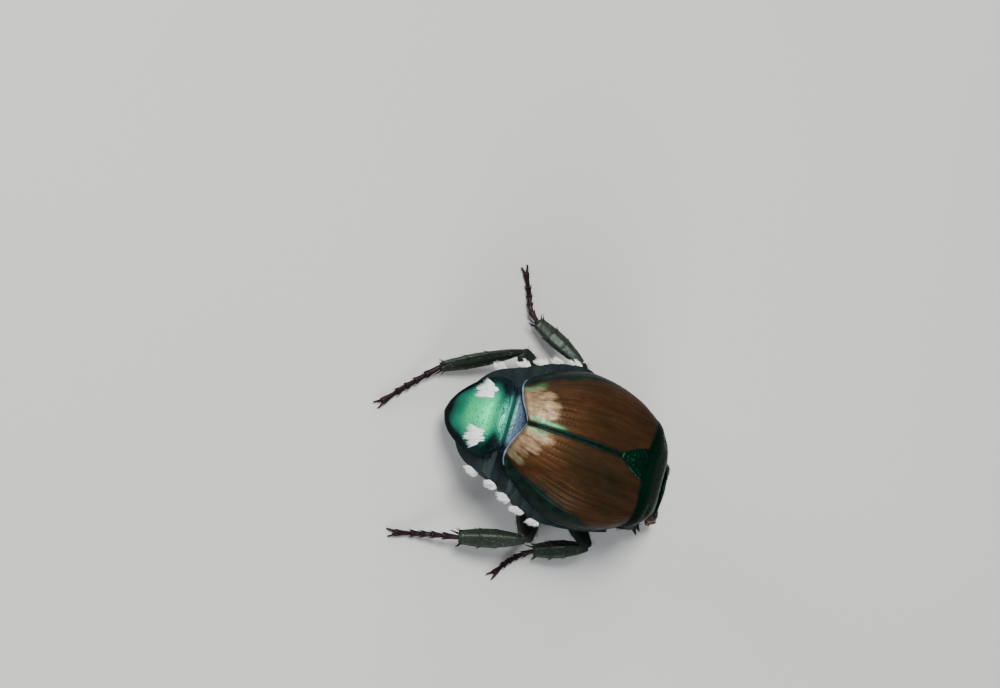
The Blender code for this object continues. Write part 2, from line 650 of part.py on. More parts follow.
def tibia_spines(name, leg, start, end, width):
    """The spines along the shin's outer edge and the two spurs at its end."""
    pair = name.split("_")[0]
    ahead = (end - start).normalized()
    side = ahead.cross(shin_up(leg, ahead)).normalized()
    outward = side if side.dot(Vector((leg["knee"][0], 0, 0))) > 0 else -side
    spines = []
    if pair == "front":
        for k, share in enumerate(FRONT_TEETH):
            root = start.lerp(end, share) + outward * width * 0.5
            tip = root + outward * SPINE_LENGTH + ahead * 0.2
            spines.append(spike(f"tooth_{k}", root, tip, SPINE_RADIUS * 1.4))
        return spines
    for k, (share, turn, lean) in enumerate(SHIN_SPINES):
        root = start.lerp(end, share) + outward * (turn * width * 0.55)
        aim = (outward * turn + ahead * 1.3 + Vector((0, 0, lean))).normalized()
        spines.append(spike(f"spine_{k}", root, root + aim * SPINE_LENGTH, SPINE_RADIUS))
    return spines


def make_tibia(name, leg):
    """The shin, narrow at the knee and wide beyond its middle."""
    pair, size = name.split("_")[0], leg["size"]
    hip, knee, end = (Vector(leg[joint]) for joint in ("hip", "knee", "ankle"))
    bend = 1 - (knee - hip).normalized().dot((end - knee).normalized())
    start = pulled_back(knee, end, KNEE_ROOM + SHARP_KNEE_ROOM * min(bend, 1.6))
    width = TIBIA_HALF_WIDTH[pair] * size
    widths = [width * part for _, part in TIBIA_STATIONS]
    heights = [max(w * TIBIA_FLATNESS, THINNEST_SHELL) for w in widths]
    path = [start.lerp(end, share) for share, _ in TIBIA_STATIONS]
    shin = limb(f"tibia_{name}", path, widths, heights, 8, shin_up(leg, (end - start).normalized()))
    return boolean(shin, tibia_spines(name, leg, start, end, width), "UNION")


def smooth_path(points, share):
    """A place on a smooth line through the points, share 0 to 1 by their chord length."""
    lengths = [0.0]
    for a, b in zip(points, points[1:]):
        lengths.append(lengths[-1] + (b - a).length)
    stations = [[(s / lengths[-1], p[axis]) for s, p in zip(lengths, points)] for axis in range(3)]
    return Vector([along(line, share) for line in stations])


def make_tarsus(name, leg):
    """The foot: five joints in a row, each wider at its end, and two curved claws."""
    points = [Vector(leg["ankle"]), *(Vector(p) for p in leg["foot"])]
    points[0] = pulled_back(points[0], points[1], ANKLE_ROOM)
    path, radii = [], []
    for first, last in zip(TARSUS_JOINTS, TARSUS_JOINTS[1:]):
        for share, size in JOINT_STATIONS:
            path.append(smooth_path(points, first + (last - first) * share))
            radii.append(TARSUS_RADIUS * size)
    radii[-1] *= 0.85
    foot = limb(f"tarsus_{name}", path, radii, radii, 8)
    ahead = (points[-1] - points[-2]).normalized()
    side = ahead.cross(Vector((0, 0, 1))).normalized()
    claws = []
    for turn in (1, -1):
        root = points[-1] - ahead * 0.12 + side * (turn * 0.08)
        curve, radii = [], []
        for share, size in CLAW_STATIONS:
            sideways = side * (turn * CLAW_SPREAD * math.sin(share * 2.2))
            drop = Vector((0, 0, CLAW_DROP * share**2))
            curve.append(root + ahead * (CLAW_LENGTH * share) + sideways - drop)
            radii.append(CLAW_RADIUS * size)
        claws.append(limb(f"claw_{turn}", curve, radii, radii, 5))
    return boolean(foot, claws, "UNION")


def make_femur_cutter(name, leg):
    """The room that a thigh's root needs in its coxa."""
    start, end = Vector(leg["hip"]), Vector(leg["knee"])
    radius = FEMUR_HALF_WIDTH[name.split("_")[0]] * leg["size"]
    path = [start + (start - end).normalized() * GAP, start, start.lerp(end, 0.12), start.lerp(end, 0.35)]
    sizes = [radius * 0.42 + GAP, radius * 0.42 + GAP, radius * 0.78 + GAP, radius + GAP]
    return limb("hip_room", path, sizes, sizes, 9)


def main():
    for obj in list(bpy.data.objects):
        bpy.data.objects.remove(obj)
    thorax, prosternum = make_thorax(), make_prosternum()
    abdomen = make_abdomen()
    for name, leg in LEGS.items():
        coxa = make_coxa(name, leg["coxa"])
        host = prosternum if name.startswith("front") else thorax
        boolean(host, [make_coxa(name, leg["coxa"], GAP)], "DIFFERENCE")
        if name.startswith("hind"):
            boolean(abdomen, [make_coxa(name, leg["coxa"], GAP)], "DIFFERENCE")
        femur = make_femur(name, leg)
        boolean(coxa, [make_femur_cutter(name, leg)], "DIFFERENCE")
        node(coxa, f"coxa_{name}", "leg_shell")
        node(femur, f"femur_{name}", "leg_shell")
        node(make_tibia(name, leg), f"tibia_{name}", "leg_shell")
        node(make_tarsus(name, leg), f"tarsus_{name}", "leg_shell")
    node(thorax, "thorax", "green_shell")
    node(prosternum, "prosternum", "green_shell")
    node(abdomen, "abdomen", "green_shell")
    node(make_propygidium(), "propygidium", "green_shell")
    node(make_pygidium(), "pygidium", "green_shell")
    node(make_pronotum(), "pronotum", "green_shell")
    node(make_scutellum(), "scutellum", "green_shell")
    node(make_head(), "head", "green_shell")
    for side, word in ((1, "left"), (-1, "right")):
        node(make_elytron(side), f"elytron_{word}", "wing_case")
        node(make_eye(side), f"eye_{word}", "eye_black")
        node(make_antenna(side), f"antenna_{word}", "feeler_brown")
        node(make_palp(side), f"palp_{word}", "feeler_brown")
    centre_footprint()


main()
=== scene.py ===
import math

import bmesh
import bpy
import numpy as np
from mathutils import Matrix, Vector


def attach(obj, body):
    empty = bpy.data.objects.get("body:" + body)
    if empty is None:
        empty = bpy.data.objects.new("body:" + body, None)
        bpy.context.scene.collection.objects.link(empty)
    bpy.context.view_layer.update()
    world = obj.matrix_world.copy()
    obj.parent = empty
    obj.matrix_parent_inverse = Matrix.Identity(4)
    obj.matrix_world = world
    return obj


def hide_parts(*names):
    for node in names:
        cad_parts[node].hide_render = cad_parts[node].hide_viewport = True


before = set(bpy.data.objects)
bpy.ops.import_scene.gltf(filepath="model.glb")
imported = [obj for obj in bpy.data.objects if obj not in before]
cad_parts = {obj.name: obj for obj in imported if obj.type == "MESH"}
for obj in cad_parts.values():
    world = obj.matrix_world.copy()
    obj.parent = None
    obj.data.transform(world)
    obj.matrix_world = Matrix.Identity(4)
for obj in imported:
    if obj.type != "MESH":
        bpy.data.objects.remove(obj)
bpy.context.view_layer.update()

# Sizes in millimetres of the beetle itself: +X its left, -Y ahead, Z up from the floor. CENTRE is the
# middle of the footprint, which the solids put at the origin.
MM = 0.001
FLOOR_ROOM = 0.004
CENTRE = np.array([0.89, 0.29, 0.0])
TURN = 2 * np.pi
SIDES = ((1, "left"), (-1, "right"))
rng = np.random.default_rng(11)

BACK_HEIGHT = (
    (-2.6, 5.6), (-1.6, 5.62), (-0.5, 5.58), (0.6, 5.45), (1.6, 5.2), (2.4, 4.87), (3.0, 4.52), (3.6, 4.1),
)
HALF_WIDTH = (
    (-3.0, 2.4), (-1.9, 2.92), (-0.9, 3.17), (0.2, 3.2), (1.0, 3.0), (1.8, 2.66), (2.5, 2.24), (3.3, 1.7),
)
MARGIN_HEIGHT = ((-3.0, 3.75), (-1.0, 3.6), (1.0, 3.55), (2.4, 3.65), (3.4, 3.75))
FLANK_HALF_WIDTH = (
    (-2.6, 2.6), (-1.2, 3.1), (0.1, 3.36), (0.7, 3.34), (1.45, 3.14), (2.2, 2.82), (2.9, 2.48), (3.5, 2.18),
)
BELLY_HEIGHT = ((-2.6, 1.35), (-1.5, 1.15), (0.0, 1.1), (1.5, 1.15), (3.0, 1.25), (4.1, 1.35))
ARCH_POWER, BELLY_POWER = 2.3, 2.05
MARGIN_DROP, WING_ROOM, REAR_ROOM, SKIN_SINK = 0.12, 0.65, 0.6, 0.03
SUTURE_GAP, ELYTRON_ROWS = 0.012, 230
ELYTRON_END = ((0.0, 2.88), (0.25, 3.16), (0.5, 3.26), (0.72, 3.2), (0.88, 3.0), (1.0, 2.65))
PRONOTUM_FRONT, PRONOTUM_REAR = -4.95, -2.52
PRONOTUM_TOP = ((-4.95, 3.2), (-4.6, 3.84), (-4.1, 4.52), (-3.5, 5.06), (-3.1, 5.33), (-2.52, 5.53))
PRONOTUM_HALF_WIDTH = ((-4.95, 1.25), (-4.6, 1.5), (-4.1, 1.85), (-3.6, 2.16), (-3.1, 2.4), (-2.52, 2.52))
PRONOTUM_SIDE = ((-4.95, 2.65), (-2.52, 3.75))
PRONOTUM_DEPTH, REAR_LOBE, FRONT_NOTCH = 0.9, 0.22, 0.2
SCUTELLUM_FRONT, SCUTELLUM_LENGTH, SCUTELLUM_HALF_WIDTH, SCUTELLUM_TOP = -2.3, 1.25, 0.74, 5.655
PROSTERNUM_FRONT, PROSTERNUM_LENGTH, PROSTERNUM_POWER = -4.72, 1.76, 2.6
PROSTERNUM_HALF_WIDTH = ((-4.72, 0.8), (-4.5, 1.1), (-3.9, 1.6), (-3.4, 1.85), (-3.06, 1.9))
ABDOMEN_FRONT, ABDOMEN_REAR = 0.0, 3.44
THORAX_FRONT, THORAX_REAR = -2.14, 0.0
FRONT_LEAN = ((0.0, 0.0), (0.17, -0.28), (0.37, -0.42), (0.55, -0.46), (0.66, -0.78), (1.0, -0.8))
REAR_LEAN = ((0.0, 0.0), (1.0, 0.92))
SEGMENT_EDGES = (0.9, 1.5, 2.1, 2.7)
PROPYGIDIUM_REAR = 3.02
BAND_FRONT, BAND_REAR, BAND_SIDE_REACH, BAND_ARCH_END, BAND_DROP = 2.2, 3.6, 0.16, 3.34, 0.34
PYGIDIUM_TOP, PYGIDIUM_TIP = np.array([0, 3.5, 4.02]), np.array([0, 4.92, 1.15])
PYGIDIUM_OUTLINE = ((0.0, 1.2), (0.1, 1.55), (0.3, 1.72), (0.55, 1.5), (0.78, 1.05), (0.93, 0.55), (1.0, 0.0))
PYGIDIUM_CROWN, PYGIDIUM_DOME = 0.42, 0.5
SIDE_TUFTS = ((0.66, 3.14), (1.46, 3.14), (2.18, 3.12), (2.88, 3.0), (3.6, 2.5))
SIDE_TUFT_HAIRS, SIDE_TUFT_LOCKS, PYGIDIUM_TUFT_HAIRS = 480, 11, 1700
BELLY_HAIRS, RING_HAIRS, HAIR_ROWS = 1500, 150, (0.45, 1.15, 1.75, 2.35)
HEAD_STATIONS = (
    (-5.2, 1.0, 2.86, 1.42), (-5.28, 1.1, 2.8, 1.3), (-5.4, 1.14, 2.58, 1.22), (-5.54, 1.1, 2.26, 1.18),
    (-5.67, 1.0, 1.94, 1.16), (-5.78, 0.94, 1.7, 1.2), (-5.85, 0.86, 1.6, 1.28),
)
HEAD_POWER, HEAD_TILT = 2.8, 0.06
EYE_CENTRE, EYE_RADII = np.array([1.0, -5.37, 1.94]), np.array([0.32, 0.3, 0.38])
FEELER_ROOT, FEELER_BEND = np.array([1.2, -5.72, 1.3]), np.array([1.2, -5.88, 1.1])
CLUB_ROOT, CLUB_TIP = np.array([1.1, -5.98, 0.94]), np.array([0.8, -6.3, 0.68])
PALP_ROOT = np.array([0.26, -5.36, 0.86])
PALP_PATH = ((0, 0, 0.1), (0.05, -0.2, -0.08), (0.07, -0.36, -0.1), (0.07, -0.52, -0.02), (0.05, -0.72, 0.06))
LEGS = {
    "front_left": dict(
        coxa=(0.8, -3.65, 1.35), hip=(1.2, -3.8, 1.02),
        knee=(2.12, -4.6, 1.62), ankle=(2.14, -5.76, 0.62),
        foot=((2.04, -6.12, 0.36), (1.82, -6.38, 0.22), (1.5, -6.64, 0.22)), size=0.86, roll=0,
    ),
    "front_right": dict(
        coxa=(-0.8, -3.65, 1.35), hip=(-1.15, -3.8, 1.02),
        knee=(-1.8, -4.5, 1.56), ankle=(-1.1, -5.5, 0.6),
        foot=((-0.9, -5.8, 0.36), (-0.62, -6.02, 0.22), (-0.22, -6.26, 0.22)), size=0.86, roll=0,
    ),
    "middle_left": dict(
        coxa=(0.95, -1.75, 1.3), hip=(1.75, -1.7, 0.98),
        knee=(3.98, -0.44, 1.62), ankle=(5.16, 1.58, 0.62),
        foot=((5.62, 1.85, 0.36), (6.32, 2.08, 0.22), (7.1, 2.49, 0.22)), size=0.92, roll=0,
    ),
    "middle_right": dict(
        coxa=(-0.95, -1.75, 1.3), hip=(-1.7, -1.8, 0.98),
        knee=(-3.22, -3.06, 1.6), ankle=(-3.98, -1.13, 0.62),
        foot=((-4.33, -0.71, 0.34), (-4.76, -0.32, 0.22), (-5.33, 0.1, 0.22)), size=0.92, roll=0,
    ),
    "hind_left": dict(
        coxa=(1.35, -0.2, 1.2), hip=(1.95, 0.15, 0.98),
        knee=(3.44, 2.42, 1.6), ankle=(1.78, 5.32, 0.56),
        foot=((0.98, 6.02, 0.35), (0.3, 6.62, 0.24), (-0.4, 7.22, 0.22)), size=1.0, roll=-55,
    ),
    "hind_right": dict(
        coxa=(-1.35, -0.2, 1.2), hip=(-1.9, -0.15, 0.98),
        knee=(-3.96, 0.15, 2.0), ankle=(-4.62, 2.55, 0.9),
        foot=((-4.82, 3.5, 0.58), (-5.02, 4.3, 0.3), (-5.24, 5.05, 0.22)), size=1.0, roll=0,
    ),
}
COXA_RADII = {"front": (0.5, 0.42, 0.55), "middle": (0.62, 0.42, 0.45), "hind": (0.78, 0.42, 0.4)}
FEMUR_HALF_WIDTH = {"front": 0.42, "middle": 0.46, "hind": 0.58}
TIBIA_HALF_WIDTH = {"front": 0.34, "middle": 0.42, "hind": 0.41}
TIBIA_FLATNESS, FEMUR_FLATNESS = 0.62, 0.56


# Number tools

def curve(stations, at):
    """The smooth curve through (place, value) stations, for an array of places."""
    p, v = np.array(stations, float).T
    slope = np.empty_like(v)
    slope[1:-1] = (v[2:] - v[:-2]) / (p[2:] - p[:-2])
    slope[0], slope[-1] = (v[1] - v[0]) / (p[1] - p[0]), (v[-1] - v[-2]) / (p[-1] - p[-2])
    at = np.clip(np.asarray(at, float), p[0], p[-1])
    i = np.clip(np.searchsorted(p, at, side="left") - 1, 0, len(p) - 2)
    span = p[i + 1] - p[i]
    t = (at - p[i]) / span
    return (
        v[i] * (2 * t**3 - 3 * t**2 + 1) + v[i + 1] * (3 * t**2 - 2 * t**3)
        + span * (slope[i] * (t**3 - 2 * t**2 + t) + slope[i + 1] * (t**3 - t**2))
    )


def bent(value, power):
    return np.sign(value) * np.abs(value) ** (2 / power)


def step(low, high, value):
    """0 below low, 1 above high, and smooth between."""
    t = np.clip((value - low) / (high - low), 0, 1)
    return t * t * (3 - 2 * t)


def hill(value, middle, width):
    return np.exp(-(((value - middle) / width) ** 2))


def unit(v):
    return v / np.maximum(np.linalg.norm(v, axis=-1, keepdims=True), 1e-12)


def between(a, b, t):
    """Points on the line from a to b, at shares t of the way."""
    return a + (b - a) * np.asarray(t)[..., None]


def circle(side, lift, angle):
    return side * np.cos(angle)[:, None] + lift * np.sin(angle)[:, None]


def shares(rows, cols, low=0.0, high=1.0, wrap=False):
    """A grid's row shares and column values. wrap leaves out the last column, which is the first again."""
    across = np.linspace(low, high, cols, endpoint=not wrap)
    return np.meshgrid(np.linspace(0, 1, rows), across, indexing="ij")


def grid_normals(p, wrap=False):
    """Unit normals of a grid of points: upwards, or outwards where the columns close a ring."""
    du = np.gradient(p, axis=1)
    if wrap:
        du = (np.roll(p, -1, axis=1) - np.roll(p, 1, axis=1)) / 2
    normal = unit(np.cross(np.gradient(p, axis=0), du))
    facing = (normal * (p - p.mean((0, 1)))).sum(-1) if wrap else normal[..., 2]
    return normal * np.sign(facing.mean())


# Meshes from arrays

MARKS = ("shade", "glow", "tint")
HAIR_PATCH = 0.003


class Piece:
    """Collects grids, tubes and hairs, and makes one mesh object of them."""

    def __init__(self, name):
        self.name, self.count = name, 0
        self.points, self.quads, self.tris = [], [], [np.zeros((0, 3), int)]
        self.quad_slots, self.tri_slots = [], []
        self.marks, self.roots = {word: [] for word in MARKS}, []

    def add(self, points, quads, tris=None, slot=0, roots=None, **marks):
        points = np.asarray(points, float).reshape(-1, 3)
        n = len(points)
        self.points.append(points)
        for faces, kept, slots in ((quads, self.quads, self.quad_slots), (tris, self.tris, self.tri_slots)):
            if faces is not None and len(faces):
                kept.append(np.asarray(faces) + self.count)
                slots.append(np.full(len(faces), slot))
        for word, kept in self.marks.items():
            kept.append(np.broadcast_to(np.asarray(marks.get(word, 0.0), float).reshape(-1), (n,)))
        self.roots.append(np.zeros((n, 2)) if roots is None else roots)
        self.count += n

    def grid(self, p, wrap=False, caps=(False, False), flip=False, **how):
        """A grid of points, rows first. wrap joins its last column to the first, caps close its end rows."""
        rows, cols = p.shape[:2]
        index = np.arange(rows * cols).reshape(rows, cols)
        right = np.roll(index, -1, axis=1) if wrap else index[:, 1:]
        left = index if wrap else index[:, :-1]
        quads = np.stack([left[:-1], right[:-1], right[1:], left[1:]], -1).reshape(-1, 4)
        points, tris, extra = p.reshape(-1, 3), [], []
        for end, row in zip(caps, (0, rows - 1)):
            if end:
                middle = rows * cols + len(extra)
                extra.append(p[row].mean(0))
                ring = index[row]
                tri = np.stack([ring, np.roll(ring, -1), np.full(cols, middle)], -1)
                tris.append(tri[:, ::-1] if row == 0 else tri)
        if extra:
            points = np.concatenate([points, extra])
            for key in MARKS:
                if np.size(how.get(key, 0.0)) > 1:
                    flat = np.asarray(how[key]).reshape(rows, cols)
                    ends = [flat[row].mean() for end, row in zip(caps, (0, rows - 1)) if end]
                    how[key] = np.concatenate([flat.reshape(-1), ends])
        tris = np.concatenate(tris) if tris else None
        if flip:
            quads = quads[:, ::-1]
            tris = tris[:, ::-1] if tris is not None else None
        self.add(points, quads, tris, **how)

    def tube(self, path, wide, high=None, sides=12, up=(0, 0, 1), form=None, **how):
        """A tube along a path, with half widths and half heights. form is a factor for each side."""
        path = np.asarray(path, float)
        wide = np.broadcast_to(np.asarray(wide, float), (len(path),))
        high = wide if high is None else np.broadcast_to(np.asarray(high, float), (len(path),))
        ahead = unit(np.gradient(path, axis=0))
        side = unit(np.cross(ahead, np.broadcast_to(np.array(up, float), path.shape)))
        lift = np.cross(side, ahead)
        turn = np.linspace(0, TURN, sides, endpoint=False)
        form = np.ones(sides) if form is None else form
        p = (
            path[:, None] + side[:, None] * (wide[:, None] * np.cos(turn) * form)[..., None]
            + lift[:, None] * (high[:, None] * np.sin(turn) * form)[..., None]
        )
        for key in MARKS:
            if np.size(how.get(key, 0.0)) == len(path):
                how[key] = np.repeat(np.asarray(how[key])[:, None], sides, axis=1)
        self.grid(p, wrap=True, caps=(True, True), **how)

    def ball(self, centre, radii, rows, cols, **how):
        lat, lon = np.linspace(-np.pi / 2, np.pi / 2, rows), np.linspace(0, TURN, cols, endpoint=False)
        p = np.stack([
            np.cos(lat)[:, None] * np.cos(lon), np.cos(lat)[:, None] * np.sin(lon),
            np.broadcast_to(np.sin(lat)[:, None], (rows, cols)),
        ], -1) * np.asarray(radii)
        self.grid(p + np.asarray(centre), wrap=True, **how)

    def hairs(self, roots, aims, lengths, radius, sag=(0, 0, 0), sides=3, rings=4, uv=None, **how):
        """Tapered, slightly bent hairs, open at the root."""
        n = len(roots)
        aims, lengths = unit(aims), np.broadcast_to(lengths, (n,))
        radius = np.broadcast_to(radius, (n,))
        t = np.linspace(0, 1, rings)
        spine = roots[:, None] + aims[:, None] * (lengths[:, None] * t)[..., None]
        spine = spine + np.asarray(sag) * (lengths[:, None] * t**2)[..., None]
        side = unit(np.cross(aims, unit(rng.normal(size=(n, 3)))))
        lift = np.cross(aims, side)
        ring = circle(side[:, None], lift[:, None], np.linspace(0, TURN, sides, endpoint=False))
        fat = radius[:, None] * (1 - 0.93 * t**1.6)
        p = spine[:, :, None] + ring[:, None] * fat[:, :, None, None]
        index = np.arange(rings * sides).reshape(rings, sides)
        nxt = np.roll(index, -1, axis=1)
        quads = np.stack([index[:-1], nxt[:-1], nxt[1:], index[1:]], -1).reshape(-1, 4)
        first = np.arange(n)[:, None, None] * rings * sides
        quads = (quads[None] + first).reshape(-1, 4)
        tris = (index[-1:, :3] + first).reshape(-1, 3)
        if uv is not None:
            patch = np.stack(np.meshgrid(t, np.arange(sides) / sides, indexing="ij"), -1).reshape(-1, 2)
            uv = (uv[:, None] + patch[None] * HAIR_PATCH).reshape(-1, 2)
        self.add(p, quads, tris, roots=uv, **how)

    def make(self, materials, replaces=(), baked=False):
        """The finished object, riding on the part's one body."""
        points = np.concatenate(self.points)
        points[:, 2] = np.maximum(points[:, 2], FLOOR_ROOM)
        points = (points - CENTRE) * MM
        quads, tris = np.concatenate(self.quads), np.concatenate(self.tris)
        mesh = bpy.data.meshes.new(self.name)
        mesh.vertices.add(len(points))
        mesh.vertices.foreach_set("co", points.astype(np.float32).ravel())
        corners = np.concatenate([quads.ravel(), tris.ravel()]).astype(np.int32)
        mesh.loops.add(len(corners))
        mesh.loops.foreach_set("vertex_index", corners)
        mesh.polygons.add(len(quads) + len(tris))
        starts = np.concatenate([np.arange(len(quads)) * 4, len(quads) * 4 + np.arange(len(tris)) * 3])
        mesh.polygons.foreach_set("loop_start", starts.astype(np.int32))
        slots = np.concatenate([*self.quad_slots, *self.tri_slots]).astype(np.int32)
        mesh.polygons.foreach_set("material_index", slots)
        for word, values in self.marks.items():
            values = np.concatenate(values).astype(np.float32)
            mesh.attributes.new(word, "FLOAT", "POINT").data.foreach_set("value", values)
        mesh.update(calc_edges=True)
        if baked:
            layer = mesh.uv_layers.new(name="OFBake")
            layer.data.foreach_set("uv", np.concatenate(self.roots)[corners].astype(np.float32).ravel())
        mesh.validate()
        for made in materials:
            mesh.materials.append(made)
        mesh.shade_smooth()
        obj = bpy.data.objects.new(self.name, mesh)
        bpy.context.scene.collection.objects.link(obj)
        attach(obj, "root")
        if replaces:
            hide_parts(*replaces)


# Materials

class Nodes:
    """A material's node tree, with short ways to add to it. Texture space is in millimetres."""

    def __init__(self, name):
        self.material = bpy.data.materials.new(name)
        self.material.use_nodes = True
        self.tree = self.material.node_tree
        self.shader = self.tree.nodes["Principled BSDF"]
        place = self.add("ShaderNodeTexCoord").outputs["Object"]
        scale = self.add("ShaderNodeMapping")
        scale.inputs["Scale"].default_value = (1000, 1000, 1000)
        self.tree.links.new(place, scale.inputs["Vector"])
        self.place = scale.outputs["Vector"]

    def add(self, kind, **settings):
        made = self.tree.nodes.new(kind)
        for key, value in settings.items():
            setattr(made, key, value)
        return made

    def link(self, a, b):
        self.tree.links.new(a, b)

    def noise(self, scale, detail=3.0, rough=0.55, stretch=None):
        made = self.add("ShaderNodeTexNoise")
        made.inputs["Scale"].default_value = scale
        made.inputs["Detail"].default_value = detail
        made.inputs["Roughness"].default_value = rough
        source = self.place
        if stretch:
            squeeze = self.add("ShaderNodeMapping")
            squeeze.inputs["Scale"].default_value = stretch
            self.link(source, squeeze.inputs["Vector"])
            source = squeeze.outputs["Vector"]
        self.link(source, made.inputs["Vector"])
        return made.outputs["Fac"]

    def cells(self, scale, wobble=1.0):
        made = self.add("ShaderNodeTexVoronoi")
        made.inputs["Scale"].default_value = scale
        made.inputs["Randomness"].default_value = wobble
        self.link(self.place, made.inputs["Vector"])
        return made.outputs["Distance"]

    def span(self, value, low, high, to_low=0.0, to_high=1.0):
        made = self.add("ShaderNodeMapRange", interpolation_type="SMOOTHSTEP")
        for key, number in (("From Min", low), ("From Max", high), ("To Min", to_low), ("To Max", to_high)):
            made.inputs[key].default_value = number
        self.link(value, made.inputs["Value"])
        return made.outputs["Result"]

    def attribute(self, name):
        return self.add("ShaderNodeAttribute", attribute_name=name).outputs["Fac"]

    def mix(self, factor, a, b):
        made = self.add("ShaderNodeMix", data_type="RGBA")
        self.link(factor, made.inputs[0])
        for socket, value in ((6, a), (7, b)):
            if isinstance(value, tuple):
                made.inputs[socket].default_value = (*value, 1)
            else:
                self.link(value, made.inputs[socket])
        return made.outputs[2]

    def mottle(self, value, a, b, low=0.35, high=0.65):
        return self.mix(self.span(value, low, high), a, b)

    def bump(self, height, depth, below=None):
        """Depth is in millimetres."""
        made = self.add("ShaderNodeBump")
        made.inputs["Distance"].default_value = depth * MM
        self.link(height, made.inputs["Height"])
        if below:
            self.link(below, made.inputs["Normal"])
        return made.outputs["Normal"]

    def finish(self, colour, normal=None, roughness=None, **sockets):
        for key, value in (("Base Color", colour), ("Normal", normal), ("Roughness", roughness)):
            if value is not None:
                self.link(value, self.shader.inputs[key])
        for key, value in sockets.items():
            self.shader.inputs[key.replace("_", " ")].default_value = value
        return self.material


FINE_GRAIN = 0.004


def cuticle(
    name, main, second, dark, bright, metal=0.8, rough=(0.2, 0.34), pits=None, depth=0.02, coat=0.06,
    shine=0.14, edge=(0.06, 0.13, 0.1), tint=None,
):
    """Hard glossy cuticle with pits: two mixed tones, a dark one by shade, a bright one by glow, and tint."""
    n = Nodes(name)
    colour = n.mottle(n.noise(1.4, 4.0), main, second)
    colour = n.mix(n.attribute("glow"), colour, bright)
    colour = n.mix(n.attribute("shade"), colour, dark)
    if tint:
        colour = n.mix(n.attribute("tint"), colour, tint)
    normal = n.bump(n.noise(26.0, 2.0), FINE_GRAIN)
    if pits:
        holes = n.span(n.cells(pits), 0.05, 0.42)
        normal = n.bump(holes, depth, below=normal)
        # The pits are darkened with the dark tone, as painted shade
        colour = n.mix(n.span(holes, 0.0, 0.6, 0.55, 0.0), colour, dark)
    return n.finish(
        colour, normal, n.span(n.noise(5.0), 0.3, 0.7, *rough), Metallic=metal, Coat_Weight=coat,
        Coat_Roughness=0.15, IOR=1.4, Specular_IOR_Level=shine, Specular_Tint=(*edge, 1),
    )


pronotum_skin = cuticle(
    "pronotum_green", (0.0016, 0.012, 0.006), (0.0026, 0.02, 0.011), (0.001, 0.004, 0.003),
    (0.008, 0.08, 0.042), pits=7.5, coat=0.0, shine=0.08, edge=(0.04, 0.1, 0.07),
)
pygidium_skin = cuticle(
    "pygidium_green", (0.02, 0.16, 0.115), (0.026, 0.19, 0.14), (0.006, 0.014, 0.016), (0.03, 0.5, 0.21),
    pits=9.0, depth=0.012, rough=(0.3, 0.44), coat=0.03,
)
propygidium_skin = cuticle(
    "propygidium_teal", (0.006, 0.013, 0.022), (0.009, 0.018, 0.03), (0.003, 0.006, 0.01), (0.06, 0.09, 0.13),
    pits=9.0, depth=0.008, rough=(0.34, 0.46), metal=0.6, tint=(0.03, 0.16, 0.12),
)
belly_skin = cuticle(
    "belly_green", (0.014, 0.02, 0.022), (0.021, 0.031, 0.034), (0.006, 0.009, 0.01), (0.02, 0.06, 0.048),
    pits=13.0, depth=0.008, rough=(0.42, 0.56), metal=0.4,
)
leg_skin = cuticle(
    "leg_green_black", (0.013, 0.016, 0.013), (0.022, 0.027, 0.022), (0.003, 0.003, 0.003),
    (0.035, 0.055, 0.042), pits=9.0, depth=0.012, rough=(0.32, 0.46), metal=0.4, edge=(0.2, 0.24, 0.22),
)
foot_skin = cuticle(
    "foot_purple_black", (0.007, 0.004, 0.005), (0.014, 0.007, 0.009), (0.002, 0.0015, 0.002),
    (0.04, 0.02, 0.03), rough=(0.26, 0.4), metal=0.2, shine=0.3, edge=(0.5, 0.42, 0.46),
)
spine_skin = cuticle(
    "spine_black", (0.005, 0.003, 0.003), (0.014, 0.007, 0.006), (0.002, 0.0015, 0.0015), (0.04, 0.02, 0.015),
    rough=(0.22, 0.32), metal=0.1, edge=(0.6, 0.5, 0.5),
)
feeler_skin = cuticle(
    "feeler_red_brown", (0.08, 0.024, 0.01), (0.13, 0.042, 0.016), (0.022, 0.008, 0.005), (0.22, 0.09, 0.04),
    rough=(0.3, 0.42), metal=0.0, coat=0.2, shine=0.4, edge=(0.8, 0.7, 0.6),
)


